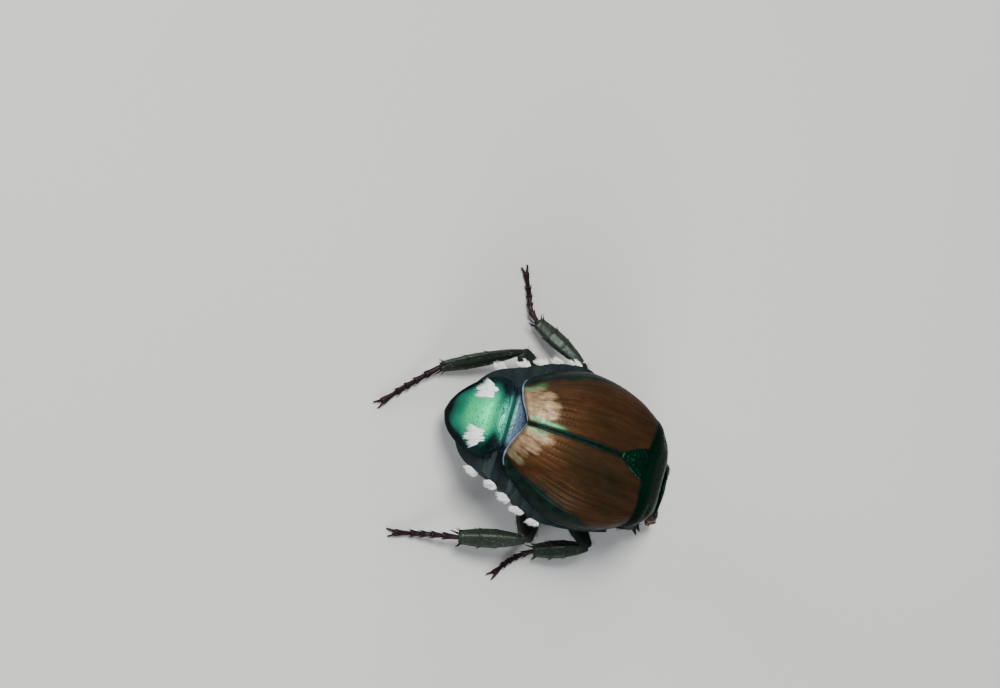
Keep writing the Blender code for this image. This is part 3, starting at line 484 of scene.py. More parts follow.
def make_elytron_skin():
    """Brown wing case with lengthwise streaks, darker and green to the sides and along the suture."""
    n = Nodes("elytron_copper")
    streaks = n.noise(3.2, 5.0, 0.65, stretch=(1.0, 0.14, 1.0))
    colour = n.mottle(streaks, (0.03, 0.0135, 0.0055), (0.066, 0.029, 0.0115), 0.25, 0.75)
    patches = n.noise(0.8, 3.0, 0.55, stretch=(1.0, 0.5, 1.0))
    colour = n.mix(n.span(patches, 0.4, 0.66, 0.0, 0.6), colour, (0.024, 0.017, 0.007))
    # The tan fingers mixed in by glow are painted highlights on the ridges near the rear
    threads = n.noise(7.0, 3.0, 0.55, stretch=(1.0, 0.16, 1.0))
    painted_highlight_tan = n.mottle(threads, (0.17, 0.115, 0.062), (0.28, 0.2, 0.12), 0.3, 0.7)
    colour = n.mix(n.attribute("glow"), colour, painted_highlight_tan)
    # tint mixes in a painted green glint
    colour = n.mix(n.attribute("tint"), colour, (0.055, 0.22, 0.105))
    # shade mixes in dark green: the margins' and suture's own green, and painted shade
    green = n.mottle(n.noise(2.2, 4.0), (0.0015, 0.006, 0.005), (0.003, 0.017, 0.013))
    colour = n.mix(n.attribute("shade"), colour, green)
    # The pits are darkened as painted shade
    pits = n.span(n.cells(11.0), 0.02, 0.3)
    colour = n.mix(n.span(pits, 0.0, 0.7, 0.14, 0.0), colour, (0.012, 0.008, 0.004))
    normal = n.bump(pits, 0.006, below=n.bump(n.noise(30.0, 2.0), FINE_GRAIN))
    return n.finish(
        colour, normal, n.span(n.noise(6.0), 0.3, 0.7, 0.34, 0.48), Metallic=0.45, Coat_Weight=0.05,
        Coat_Roughness=0.2, IOR=1.4, Specular_IOR_Level=0.14, Specular_Tint=(0.14, 0.14, 0.12, 1),
    )


def make_hair_skin(name, dark, pale, rough=0.5, sheen=0.3):
    n = Nodes(name)
    colour = n.mottle(n.noise(9.0, 2.0), dark, pale)
    normal = n.bump(n.noise(40.0, 1.0), 0.002)
    return n.finish(colour, normal, n.span(n.noise(12.0), 0.3, 0.7, rough, rough + 0.15), Sheen_Weight=sheen)


def make_eye_skin():
    """Black-brown eye with its fine facets."""
    n = Nodes("eye_facets")
    facets = n.cells(26.0, wobble=0.12)
    colour = n.mottle(n.noise(3.0), (0.004, 0.003, 0.003), (0.016, 0.008, 0.005))
    return n.finish(
        colour, n.bump(n.span(facets, 0.0, 0.5, 1.0, 0.0), 0.006), n.span(n.noise(8.0), 0.3, 0.7, 0.26, 0.36),
        Coat_Weight=0.06, Coat_Roughness=0.15, Specular_IOR_Level=0.2,
    )


elytron_skin = make_elytron_skin()
# The rear-edge bead's pale blue-grey is partly the pale fringe of the wing case and partly a painted
# reflection
rim_fringe_and_reflection_skin = cuticle(
    "rim_blue_grey", (0.11, 0.155, 0.215), (0.19, 0.24, 0.31), (0.03, 0.05, 0.07), (0.3, 0.36, 0.42),
    rough=(0.45, 0.6), metal=0.2, shine=0.2, edge=(0.5, 0.55, 0.6),
)
suture_skin = cuticle(
    "suture_green", (0.006, 0.024, 0.015), (0.012, 0.045, 0.028), (0.004, 0.02, 0.015), (0.2, 0.34, 0.25),
    rough=(0.26, 0.38), metal=0.5, shine=0.3, edge=(0.3, 0.5, 0.4),
)
white_hair = make_hair_skin("tuft_white", (0.9, 0.92, 0.91), (0.98, 0.99, 0.99), sheen=0.8)
leg_hair = make_hair_skin("leg_hair_brown", (0.06, 0.052, 0.04), (0.13, 0.115, 0.09))
grey_hair = make_hair_skin("fine_hair_grey", (0.26, 0.25, 0.2), (0.42, 0.4, 0.33))
dark_hair = make_hair_skin("bristle_dark", (0.03, 0.018, 0.012), (0.07, 0.04, 0.025))
eye_skin = make_eye_skin()


# The back

def arch(y, across, drop=0.0):
    """The back's outer surface: across runs from 0 at the middle line to 1 at the margin."""
    turn = across * np.pi / 2
    width, margin = curve(HALF_WIDTH, y) - drop, curve(MARGIN_HEIGHT, y)
    rise = curve(BACK_HEIGHT, y) - drop - margin
    x, z = width * bent(np.sin(turn), ARCH_POWER), margin + rise * bent(np.cos(turn), ARCH_POWER)
    return np.stack([x, y, z], -1)


def pronotum_rear(x):
    return PRONOTUM_REAR + REAR_LOBE * np.cos(np.pi * x / curve(PRONOTUM_HALF_WIDTH, PRONOTUM_REAR))


# The grooves of a wing case, as shares across it, and the pale fingers at its rear, which are painted
# highlights:
# share across, the place of the tip, and half width
STRIAE = (0.075, 0.135, 0.2, 0.265, 0.33, 0.395, 0.46, 0.525, 0.59, 0.66)
PAINTED_HIGHLIGHT_FINGERS = {
    1: ((0.11, 1.76, 0.038), (0.215, 1.74, 0.044), (0.345, 1.95, 0.05), (0.47, 2.36, 0.045)),
    -1: ((0.09, 1.66, 0.035), (0.22, 2.06, 0.055), (0.35, 2.42, 0.045), (0.49, 2.44, 0.055)),
}


def elytron_marks(side, y, u, v, end, groove):
    """The marks of a wing case: shade for its dark edges and painted shade, glow for the pale fingers, which
    are painted highlights, tint for a painted green glint.
    """
    ragged = 0.02 * np.sin(y * 3.1) + 0.012 * np.sin(y * 7.3 + 1) + 0.02 * groove
    edge = 0.86 - 0.25 * step(0.1, 0.55, v) + ragged
    rim = step(edge - 0.05, edge + 0.06, u) * 0.97
    seam = (1 - step(0.008, 0.032, u)) * 0.95
    # shade: the dark green margin and suture, and painted shade in the grooves, along the front edge and in a
    # patch at the front, stronger on the right wing case
    dusk = (0.42 if side < 0 else 0.14) * hill(np.hypot((y + 1.2) / 1.5, (u - 0.28) / 0.3), 0, 1)
    shade = np.maximum.reduce([rim, seam, dusk, 0.16 * groove * (u < 0.7), 0.8 - step(0.0, 0.03, v)])
    # glow: the pale fingers before the rear end, painted highlights on the ridges
    glow = np.zeros_like(u)
    for middle, tip, half in PAINTED_HIGHLIGHT_FINGERS[side]:
        wide = half * (0.95 + 0.5 * np.clip(y - tip, 0, 1.2)) + 0.006 * np.sin(y * 17 + middle * 90)
        off = np.abs(u - middle - 0.01 * np.sin(y * 5 + middle * 40)) / wide
        along = step(tip, tip + 0.34, y + 0.02 * np.sin(u * 95 + middle * 60) - 0.07 * off**4)
        glow = np.maximum(glow, along * (1 - step(0.7, 1.35, off)))
    before = 1 - step(end - 0.14, end - 0.03, y)
    glow *= (0.35 + 0.65 * before) * (0.85 + 0.09 * np.sin(y * 9 + u * 31) + 0.06 * np.sin(u * 140 + y * 2))
    # band is a painted green glint by the rear of the suture and on the rear of the wing case; on the right
    # it also greys the painted highlights
    if side > 0:
        bend = 0.026 + 0.035 * step(1.7, 2.9, y)
        band = 0.9 * hill(u, bend, 0.014 + 0.008 * step(1.8, 2.6, y)) * step(1.3, 1.8, y) * before
        band += 0.5 * hill(u, 0.53 + 0.02 * np.sin(y * 8), 0.06) * step(2.3, 2.7, y)
    else:
        band = 0.4 * hill(u, 0.05, 0.035) * step(1.8, 2.5, y) * before + 0.22 * step(0.35, 0.5, u) * glow
    return np.clip(shade, 0, 1), glow * (0.95 if side > 0 else 0.68), np.clip(band, 0, 1)


def elytron_surface(side):
    """Points and marks of one wing case, in the left side's place, before its edges are turned in."""
    v, u = shares(ELYTRON_ROWS, ELYTRON_ROWS)
    base = pronotum_rear(arch(np.full_like(u, PRONOTUM_REAR), u)[..., 0]) + 0.03
    end = curve(ELYTRON_END, u)
    y = base + (end - base) * v
    p = arch(y, u)
    rise = 0.05 * hill(np.hypot((y + 1.95) / 0.7, (u - 0.6) / 0.16), 0, 1)
    rise += 0.04 * hill(np.hypot((y - 2.35) / 0.45, (u - 0.5) / 0.2), 0, 1) - 0.055
    groove = np.zeros_like(u)
    for k, line in enumerate(STRIAE):
        wander = line + 0.004 * np.sin(y * 2.1 + k * 1.7)
        dent = 0.82 + 0.18 * np.sin(y * 2 * np.pi / 0.16 + k * 2.4)
        groove += hill(u, wander, 0.012) * dent * step(0.02, 0.09, v) * (1 - step(0.95, 0.99, v))
    groove *= 1 - 0.8 * step(1.5, 2.1, y) * (1 - step(0.55, 0.7, u))
    rise -= 0.016 * groove
    rise += 0.03 * step(0.9, 0.96, u) * (1 - step(0.98, 1.0, u))
    rise += 0.022 * (1 - step(0.0, 0.024, u)) + 0.02 * step(0.975, 0.99, v)
    p = p + grid_normals(p) * rise[..., None]
    p[..., 0] = np.maximum(p[..., 0], SUTURE_GAP)
    return p, elytron_marks(side, y, u, v, end, groove)


def hemmed(p, marks, thick=0.13, depth=0.4):
    """Adds rows on all four sides that turn the edge down and inwards, so that the shell looks thick."""
    drops, shifts = np.array([0, 0.35, 1.0, 1.15]), np.array([0, 0.0, 0.04, 1.0])

    def reach(count):
        """Nearest own row, rows beyond the edge, and a row six further in, for each row with the new ones."""
        at = np.arange(1 - len(drops), count + len(drops) - 1)
        near = np.clip(at, 0, count - 1)
        inner = np.clip(near + np.where(near == 0, 6, -6), 0, count - 1)
        return near, np.maximum(-at, at - count + 1).clip(0), inner

    (ri, out_r, inner_r), (ci, out_c, inner_c) = reach(p.shape[0]), reach(p.shape[1])
    spread = np.ix_(ri, ci)
    base, drop = p[spread], drops[np.maximum(out_r[:, None], out_c[None])]
    in_r, in_c = unit(p[inner_r][:, ci] - base), unit(p[:, inner_c][ri] - base)
    move = in_r * shifts[out_r][:, None, None] + in_c * shifts[out_c][None, :, None]
    q = base - grid_normals(p)[spread] * (drop * thick)[..., None] + move * depth
    return q, {key: value[spread] for key, value in zip(MARKS, marks)}


def make_elytron(side, word):
    """A wing case, with the pale bead along its rear edge and the dark green one beside the suture."""
    surface, marks = elytron_surface(side)
    p, marks = hemmed(surface, marks)
    p[..., 0] = side * np.maximum(p[..., 0], SUTURE_GAP)
    piece = Piece(f"elytron_shell_{word}")
    piece.grid(p, flip=side < 0, **marks)
    piece.make([elytron_skin], [f"elytron_{word}"])
    p = surface * [side, 1, 1]
    rim, seam = p[-1, 2:200:3] + [0, 0.02, -0.03], p[76:226:3, 2] + [0.02 * side, 0, -0.01]
    for name, path, fat, skin in (("rim", rim, 0.045, rim_fringe_and_reflection_skin), ("suture", seam, 0.026, suture_skin)):
        t = np.linspace(0, 1, len(path))
        piece = Piece(f"elytron_{name}_bead_{word}")
        wide = fat * np.sqrt(np.clip(np.sin(np.pi * (0.04 + 0.92 * t)), 0.02, 1))
        piece.tube(path, wide * (0.9 + 0.1 * np.sin(t * 23)), sides=10, shade=0.25 + 0.2 * np.sin(t * 17))
        piece.make([skin])


def make_pronotum():
    share, turn = shares(130, 300, high=TURN, wrap=True)
    y = PRONOTUM_FRONT + (PRONOTUM_REAR - PRONOTUM_FRONT) * share
    width, side, top = (curve(s, y) for s in (PRONOTUM_HALF_WIDTH, PRONOTUM_SIDE, PRONOTUM_TOP))
    x = width * bent(np.cos(turn), ARCH_POWER)
    z = side + np.where(np.sin(turn) > 0, top - side, PRONOTUM_DEPTH) * bent(np.sin(turn), ARCH_POWER)
    upper = np.clip(np.sin(turn), 0, 1)
    notch = FRONT_NOTCH * (1 - (x / width) ** 2) * (1 - share) * upper
    lobe = np.where(upper > 0, pronotum_rear(x) - PRONOTUM_REAR, -REAR_LOBE) * share
    p = np.stack([x, y + notch + lobe, z], -1)
    edge = np.where(turn > np.pi, 1, np.minimum(turn, np.abs(np.pi - turn)))
    rise = 0.045 * hill(edge, 0.05, 0.035) - 0.03 * hill(edge, 0.16, 0.06)
    rise += 0.03 * hill(share, 0.02, 0.018) * upper**0.5 - 0.025 * hill(share, 0.07, 0.025) * upper**0.5
    rise += 0.03 * hill(share, 0.985, 0.012) * upper**0.5
    dimple = np.hypot((share - 0.55) / 0.1, (np.abs(x / width) - 0.72) / 0.1)
    rise -= 0.06 * hill(dimple, 0, 1) * (upper > 0.1) + 0.05
    p = p + grid_normals(p, wrap=True) * rise[..., None]
    # Painted shade on the lower side, and a painted highlight on the top towards the rear
    shade = 0.6 * (1 - step(0.05, 0.35, upper))
    glow = 0.35 * hill(share, 0.7, 0.3) * step(0.4, 0.9, upper)
    piece = Piece("pronotum_shield")
    piece.grid(p, wrap=True, caps=(True, True), shade=shade, glow=glow)
    piece.make([pronotum_skin], ["pronotum"])


def make_scutellum():
    """A domed, rounded triangle behind the pronotum."""
    s, t = shares(50, 60, -1)
    y = SCUTELLUM_FRONT + SCUTELLUM_LENGTH * s
    half = SCUTELLUM_HALF_WIDTH * (1 - s**1.35) ** 0.78 + 0.004
    x = half * t
    across = np.abs(t)
    z = curve(BACK_HEIGHT, y) - 0.05 * np.abs(x) ** 2 + 0.055 * (1 - across**4) * (1 - s**6) - 0.045
    z -= 0.2 * across**14 + 0.15 * s**26
    piece = Piece("scutellum_plate")
    p = np.stack([x, y, np.minimum(z, SCUTELLUM_TOP)], -1)
    # Painted shade at the edges, where it dips between the wing cases, and a painted highlight along the
    # middle
    piece.grid(p, shade=0.35 * across**6, glow=0.25 * hill(s, 0.5, 0.4))
    piece.make([pronotum_skin], ["scutellum"])


# The trunk below the wing cases

def trunk_grid(front, rear, rows, drop, lean, lean_share, sink):
    """Rings of the trunk, with their places and angles. drop, lean_share and sink depend on the place."""
    s, c = shares(rows, 200, wrap=True)
    y = front + (rear - front) * s
    sunk, room, turn = sink(y), drop(y), c * TURN
    width, inner = curve(FLANK_HALF_WIDTH, y) - sunk, curve(HALF_WIDTH, y) - room
    belly, back = curve(BELLY_HEIGHT, y) + sunk, curve(BACK_HEIGHT, y) - room
    margin = np.minimum(curve(MARGIN_HEIGHT, y) - MARGIN_DROP, back - 0.1)
    low = np.cos(turn) > 0
    x = np.where(low, width, inner) * bent(np.sin(turn), np.where(low, BELLY_POWER, ARCH_POWER))
    reach = np.where(low, margin - belly, back - margin)
    z = margin - reach * np.where(low, bent(np.cos(turn), BELLY_POWER), bent(np.cos(turn), ARCH_POWER))
    ahead = lean_share(y) * curve(lean, (back - z) / (back - belly))
    return np.stack([x, y + ahead, z], -1), y, turn


def saw(y, edges, depth, width=0.12):
    """Steps down just behind each edge and climbs back slowly, as overlapping body rings do."""
    out = np.zeros_like(y)
    for edge in edges:
        out += depth * np.where(y > edge, np.exp(-np.abs(y - edge) / width), 0)
    return out


def under_wing(y):
    """How far the abdomen's own back lies below the wing cases. Behind the last plate it runs on level."""
    level = curve(BACK_HEIGHT, PROPYGIDIUM_REAR) - 1.25
    room = WING_ROOM + REAR_ROOM * step(1.9, 2.3, y)
    return np.where(y < PROPYGIDIUM_REAR, room, curve(BACK_HEIGHT, y) - level)


def abdomen_heights(y):
    """The heights of the abdomen's own back and of its belly."""
    return curve(BACK_HEIGHT, y) - under_wing(y), curve(BELLY_HEIGHT, y)


def rear_lean_share(y):
    return np.clip((y - SEGMENT_EDGES[0]) / (ABDOMEN_REAR - SEGMENT_EDGES[0]), 0, 1) ** 1.5


def flank_point(side, y, z, sunk=SKIN_SINK):
    """A point on the abdomen's side, at a given place and height."""
    station = y
    for _ in range(8):
        back, belly = abdomen_heights(station)
        station = y - rear_lean_share(station) * curve(REAR_LEAN, (back - z) / (back - belly))
    margin = np.minimum(curve(MARGIN_HEIGHT, station) - MARGIN_DROP, back - 0.1)
    low = np.clip((margin - z) / (margin - belly), 0, 1)
    width = (curve(FLANK_HALF_WIDTH, station) - sunk) * (1 - low**BELLY_POWER) ** (1 / BELLY_POWER)
    return np.stack([side * width, y, z], -1)


def make_abdomen():
    p, y, turn = trunk_grid(
        ABDOMEN_FRONT, ABDOMEN_REAR, 230, under_wing, REAR_LEAN, rear_lean_share,
        lambda y: SKIN_SINK + saw(y, SEGMENT_EDGES, 0.06),
    )
    piece = Piece("abdomen_rings")
    # Painted shade just behind each ring's edge, and on the upper side under the wing cases
    ring = saw(y, SEGMENT_EDGES, 1.0, 0.05)
    shade = np.clip(ring * 0.6 + 0.7 * step(0.0, 0.6, -np.cos(turn)), 0, 1)
    piece.grid(p, wrap=True, caps=(True, True), shade=shade)
    piece.make([belly_skin], ["abdomen"])


def make_thorax():
    p, y, turn = trunk_grid(
        THORAX_FRONT, THORAX_REAR, 160, lambda y: WING_ROOM, FRONT_LEAN,
        lambda y: (THORAX_REAR - y) / (THORAX_REAR - THORAX_FRONT),
        lambda y: SKIN_SINK + 0.05 * hill(y, -1.25, 0.06) + 0.04 * hill(y, -0.12, 0.08),
    )
    middle = hill(p[..., 0], 0, 0.06) * (np.cos(turn) > 0)
    seam = np.abs(np.abs(p[..., 0]) - (1.5 + 0.5 * (y + 2))) < 0.04
    p[..., 2] += 0.05 * middle + 0.03 * seam * (np.cos(turn) > 0)
    shade = 0.6 * np.clip(middle + 0.5 * seam, 0, 1)
    piece = Piece("thorax_plates")
    # A dark body inside, as painted shade, that closes the slit before the pronotum
    piece.ball((0, -2.45, 2.9), (2.25, 0.6, 1.1), rows=30, cols=48, shade=1.0)
    piece.grid(p, wrap=True, caps=(True, True), shade=shade, glow=0.3 * hill(y, -0.8, 0.5))
    piece.make([belly_skin], ["thorax"])


def make_prosternum():
    s, turn = shares(60, 90, high=TURN, wrap=True)
    y = PROSTERNUM_FRONT + PROSTERNUM_LENGTH * s
    width = curve(PROSTERNUM_HALF_WIDTH, y) - 0.02
    top = curve(PRONOTUM_SIDE, y) - PRONOTUM_DEPTH
    bottom = 1.37 - 0.05 * (y + 2.08) * 0.2
    z = (top + bottom) / 2 + (top - bottom) / 2 * bent(np.sin(turn), PROSTERNUM_POWER)
    p = np.stack([width * bent(np.cos(turn), PROSTERNUM_POWER), y, z], -1)
    keel = hill(p[..., 0], 0, 0.12) * (np.sin(turn) < 0)
    p[..., 2] += 0.06 * (1 - keel) * (np.sin(turn) < 0) * hill(s, 0.5, 0.3)
    piece = Piece("prosternum_plates")
    piece.grid(p, wrap=True, caps=(True, True), shade=0.4 * (1 - keel))
    piece.make([belly_skin], ["prosternum"])


def make_propygidium():
    """The band between the wing cases and the pygidium, with its smooth bright rear edge."""
    s, t = shares(70, 200, -1)
    end = BAND_REAR + BAND_SIDE_REACH * step(0.5, 0.95, np.abs(t))
    y = BAND_FRONT + (end - BAND_FRONT) * s
    p = arch(np.minimum(y, BAND_ARCH_END), np.abs(t) * 0.96, BAND_DROP)
    p[..., 1] = y
    p[..., 0] *= np.sign(t)
    p[..., 2] += 0.09 * step(0.7, 0.93, s) - 0.12 * step(0.95, 1.0, s) ** 2
    piece = Piece("propygidium_band")
    # Painted shade in front and at the sides, where the band runs under the wing cases
    shade = 0.6 * (1 - step(0.4, 0.6, s)) + 0.85 * step(0.36, 0.66, np.abs(t))
    tint = step(0.66, 0.9, s + 0.02 * np.sin(t * 9)) * (1 - step(0.25, 0.6, np.abs(t)))
    shade = np.clip(shade, 0, 1) * (1 - 0.5 * tint)
    piece.grid(p, flip=True, shade=shade, glow=0.9 * hill(s, 0.74, 0.2), tint=tint)
    piece.make([propygidium_skin], ["propygidium"])


def pygidium_frame():
    """The shield's directions down and out, and its length."""
    down = unit(PYGIDIUM_TIP - PYGIDIUM_TOP)
    out = np.cross([1.0, 0, 0], down)
    return down, out * np.sign(out[1]), np.linalg.norm(PYGIDIUM_TIP - PYGIDIUM_TOP)


def pygidium_point(w, s, extra=0.0):
    """Points of the domed shield, w across and s down as shares of its half width and length."""
    down, out, length = pygidium_frame()
    half = curve(PYGIDIUM_OUTLINE, s)
    fall = (s - PYGIDIUM_CROWN) / np.where(s < PYGIDIUM_CROWN, PYGIDIUM_CROWN, 1 - PYGIDIUM_CROWN)
    radius = np.sqrt(np.clip(w**2 + fall**2 * (1 - w**2), 0, 1))
    height = PYGIDIUM_DOME * (1 - radius**2.3) ** 0.75 - 0.06 + extra
    p = np.array([1.0, 0, 0]) * (w * half)[..., None] + PYGIDIUM_TOP + down * (s * length)[..., None]
    return p + out * height[..., None], radius


def pygidium_root():
    """Rings, level by level, that join the shield's inner side to the end of the abdomen."""
    z = np.linspace(1.3, 3.22, 36)
    back, belly = abdomen_heights(ABDOMEN_REAR)
    low = np.clip((back - 0.1 - z) / (back - 0.1 - belly), 0, 0.985)
    inner = (curve(FLANK_HALF_WIDTH, ABDOMEN_REAR) - 0.08) * (1 - low**BELLY_POWER) ** (1 / BELLY_POWER)
    behind = ABDOMEN_REAR - 0.12 + np.clip(curve(REAR_LEAN, (back - z) / (back - belly)), 0, 1)
    share = (PYGIDIUM_TOP[2] - z) / (PYGIDIUM_TOP[2] - PYGIDIUM_TIP[2])
    outer = np.maximum(curve(PYGIDIUM_OUTLINE, share) - 0.1, 0.03)
    ahead = PYGIDIUM_TOP[1] + (PYGIDIUM_TIP[1] - PYGIDIUM_TOP[1]) * share - 0.08
    inner = np.minimum(inner, outer + 0.25 * (1 - step(2.5, 3.1, z)))
    corners = np.array([(-inner, behind), (-outer, ahead), (outer, ahead), (inner, behind)])[..., None]
    rings = corners + (np.roll(corners, -1, axis=0) - corners) * np.linspace(0, 1, 9)[:-1]
    x, y = rings.transpose(1, 2, 0, 3).reshape(2, len(z), -1)
    return np.stack([x, y, np.broadcast_to(z[:, None], x.shape)], -1)


def make_pygidium():
    s, w = shares(150, 150, -1)
    _, radius = pygidium_point(w, s)
    p, radius = pygidium_point(w * 0.985, 0.004 + s * 0.99, 0.02 * hill(radius, 0.965, 0.02))
    ragged = 0.05 * np.sin(w * 7 + 1) + 0.03 * np.sin(s * 23)
    # Painted shade at the rim, on the lower part and near the top edge, and a painted highlight in the middle
    # of the dome
    shade = 0.95 * step(0.62, 0.92, radius + ragged) * step(0.0, 0.2, s + 0.25 * np.abs(w) - 0.12)
    shade += 0.5 * step(0.52, 0.85, s + ragged) + 0.45 * hill(s + 0.03 * w, 0.06, 0.09)
    glow = 1 - step(0.12, 0.7, np.hypot(w * 0.85, (s - 0.36) * 1.5) + ragged)
    p, marks = hemmed(p, (np.clip(shade, 0, 1), glow), 0.2, 0.12)
    piece = Piece("pygidium_shield")
    piece.grid(p, flip=True, **marks)
    piece.grid(pygidium_root(), wrap=True, caps=(True, True), slot=1)
    piece.make([pygidium_skin, belly_skin], ["pygidium"])


# Hair

def coat_uv(turn, y):
    """The coat's texture places: around the body, and along it."""
    return np.stack([turn / 7 + 0.5, y / 12 + 0.5], -1)


def tuft_hairs(piece, roots, aims, lengths, radius, sag):
    uv = coat_uv(np.arctan2(roots[:, 0], roots[:, 2] - 3.0), roots[:, 1])
    piece.hairs(roots, aims, lengths, radius, sag=sag, uv=uv, rings=5)


def make_side_tufts():
    """Five white tufts on each side, on the body rings below the wing cases."""
    piece = Piece("side_tufts_white")
    for side in (1, -1):
        for y, z in SIDE_TUFTS:
            a, b = rng.uniform(-1, 1, (2, SIDE_TUFT_HAIRS))
            keep = a**2 + b**2 < 1
            a, b = a[keep], b[keep]
            spots, leans = rng.uniform(-1, 1, (SIDE_TUFT_LOCKS, 2)), rng.normal(0, 0.14, (SIDE_TUFT_LOCKS, 3))
            lock = np.hypot(a[:, None] - spots[:, 0], b[:, None] - spots[:, 1]).argmin(1)
            behind, before = flank_point(side, y + np.array([0.15, -0.15]), np.full(2, z))
            along = unit(behind - before)
            out = unit(np.cross(along, [0, 0, side]) + [0, 0, 0.25])
            roots = flank_point(side, y - 0.07 + a * 0.2, z + 0.04 + b * 0.1, 0.06)
            aims = out * 0.8 + along * (a * 0.3 + 0.5)[:, None] + np.outer(b * 0.3 - 0.2, [0, 0, 1])
            aims = aims + leans[lock] + rng.normal(0, 0.06, (len(a), 3))
            lengths = rng.uniform(0.22, 0.4, len(a)) * (1 - 0.3 * (a**2 + b**2)) * (1 + leans[lock, 0])
            tuft_hairs(piece, roots, aims, lengths, 0.015, (0, 0.08, -0.2))
    piece.make([white_hair], baked=True)


def make_pygidium_tufts():
    """Two furrowed patches of white hair near the upper edge of the shield."""
    piece = Piece("pygidium_tufts_white")
    down, out, _ = pygidium_frame()
    for side in (1, -1):
        a, b = rng.uniform(-1, 1, (2, PYGIDIUM_TUFT_HAIRS))
        ragged = 0.78 + 0.22 * np.sin(np.arctan2(b, a) * 5 + side)
        keep = (np.hypot(a, b) < ragged) & (np.abs(np.sin(a * 8.4 + 0.5 * b + 0.4)) > 0.36)
        a, b = a[keep], b[keep]
        p, _ = pygidium_point(side * 0.55 + a * 0.2, 0.3 + b * 0.11, -0.01)
        aims = down * 0.8 + out * 0.4 + np.array([side * 0.12, 0, 0]) + np.outer(a * 0.4, [1, 0, 0])
        aims = aims + rng.normal(0, 0.07, (len(a), 3))
        tuft_hairs(piece, p, aims, rng.uniform(0.24, 0.4, len(a)), 0.014, tuple(down * 0.3 - out * 0.3))
    piece.make([white_hair], baked=True)


# The head

def make_head():
    """The head with its broad clypeus, the seam across the face, the ridges by the eyes and the jaws."""
    rows, cols = 110, 200
    y0, y1 = HEAD_STATIONS[0][0], HEAD_STATIONS[-1][0]
    s, turn = shares(rows, cols, high=TURN, wrap=True)
    y = y0 + (y1 - y0) * s
    table = HEAD_STATIONS[::-1]
    width, top, bottom = (curve([(r[0], r[k]) for r in table], y) for k in (1, 2, 3))
    z = (top + bottom) / 2 + (top - bottom) / 2 * bent(np.sin(turn), HEAD_POWER)
    p = np.stack([width * bent(np.cos(turn), HEAD_POWER), y + HEAD_TILT * np.sin(turn), z], -1)
    normal = grid_normals(p, wrap=True)
    upper = np.clip(np.sin(turn), 0, 1) ** 0.5
    across = p[..., 0] / width
    seam = hill(s - 0.5 - 0.12 * across**2, 0.0, 0.022) * upper
    rise = 0.05 * hill(s, 0.97, 0.025) - 0.045 * seam
    rise += 0.03 * hill(s, 0.3, 0.12) * upper * hill(across, 0, 0.5)
    rise += 0.02 * hill(s, 0.75, 0.1) * upper * hill(np.abs(across), 0.5, 0.2) - 0.03
    socket = np.minimum(*(
        np.linalg.norm((p - EYE_CENTRE * [side, 1, 1]) / (EYE_RADII + 0.05), axis=-1) for side in (1, -1)
    ))
    rise -= 0.07 * (1 - step(0.95, 1.2, socket)) - 0.025 * hill(socket, 1.3, 0.12)
    p = p + normal * rise[..., None]
    piece = Piece("head_capsule")
    t = np.linspace(0, 1, 12)
    neck = np.stack([0 * t, -5.3 + 0.66 * t, 1.98 + 0.34 * t], -1)
    # The neck, darkened as painted shade under the pronotum
    piece.tube(neck, 0.84 + 0.2 * t**0.5, 0.4 + 0.24 * t**0.5, sides=56, shade=0.9)
    # shade: the dark seam across the face, and painted shade in the hollows round the eyes
    piece.grid(
        p, wrap=True, caps=(True, True), shade=np.clip(0.6 * seam + 0.5 * (1 - step(1.0, 1.3, socket)), 0, 1),
        glow=0.4 * step(0.6, 0.8, s) * upper,
    )
    for side in (1, -1):
        t = np.linspace(0, 1, 24)
        ridge = np.array([side * 0.78, -5.58, 1.98]) + np.array([side * 0.12, 0.0, 0.02]) * t[:, None]
        ridge[:, 1] -= 0.06 * np.sin(np.pi * t)
        piece.tube(ridge, 0.07 * (1 - 0.75 * t**2), 0.05 * (1 - 0.6 * t**2), sides=16, glow=0.2)
        piece.ball((side * 0.52, -5.72, 1.12), (0.24, 0.15, 0.11), rows=24, cols=32, slot=1)
    piece.ball((0, -5.78, 1.14), (0.4, 0.1, 0.1), rows=24, cols=40, slot=1)
    n = 260
    place, turns = rng.uniform(0.1, 0.95, n), rng.uniform(-1, 1, n)
    i, j = (place * (rows - 1)).astype(int), (rng.uniform(0, 0.5, n) * cols).astype(int)
    aims = normal[i, j] * 0.7 + np.array([0, -0.3, -0.8]) + 0.1 * turns[:, None]
    free = socket[i, j] > 1.25
    piece.hairs(p[i, j][free] - normal[i, j][free] * 0.01, aims[free], 0.13, 0.006, slot=2)
    edge = np.linspace(-0.8, 0.8, 46)
    aims = np.outer(edge, [0.15, 0, 0]) + [0, -0.75, -0.6]
    piece.hairs(np.outer(edge, [1, 0, 0]) + [0, -5.86, 1.24], aims, 0.2, 0.008, slot=2)
    piece.make([pronotum_skin, spine_skin, leg_hair], ["head"])


def make_eye(side, word):
    piece = Piece(f"eye_ball_{word}")
    piece.ball(EYE_CENTRE * [side, 1, 1], EYE_RADII * 0.99, rows=48, cols=72)
    piece.make([eye_skin], [f"eye_{word}"])


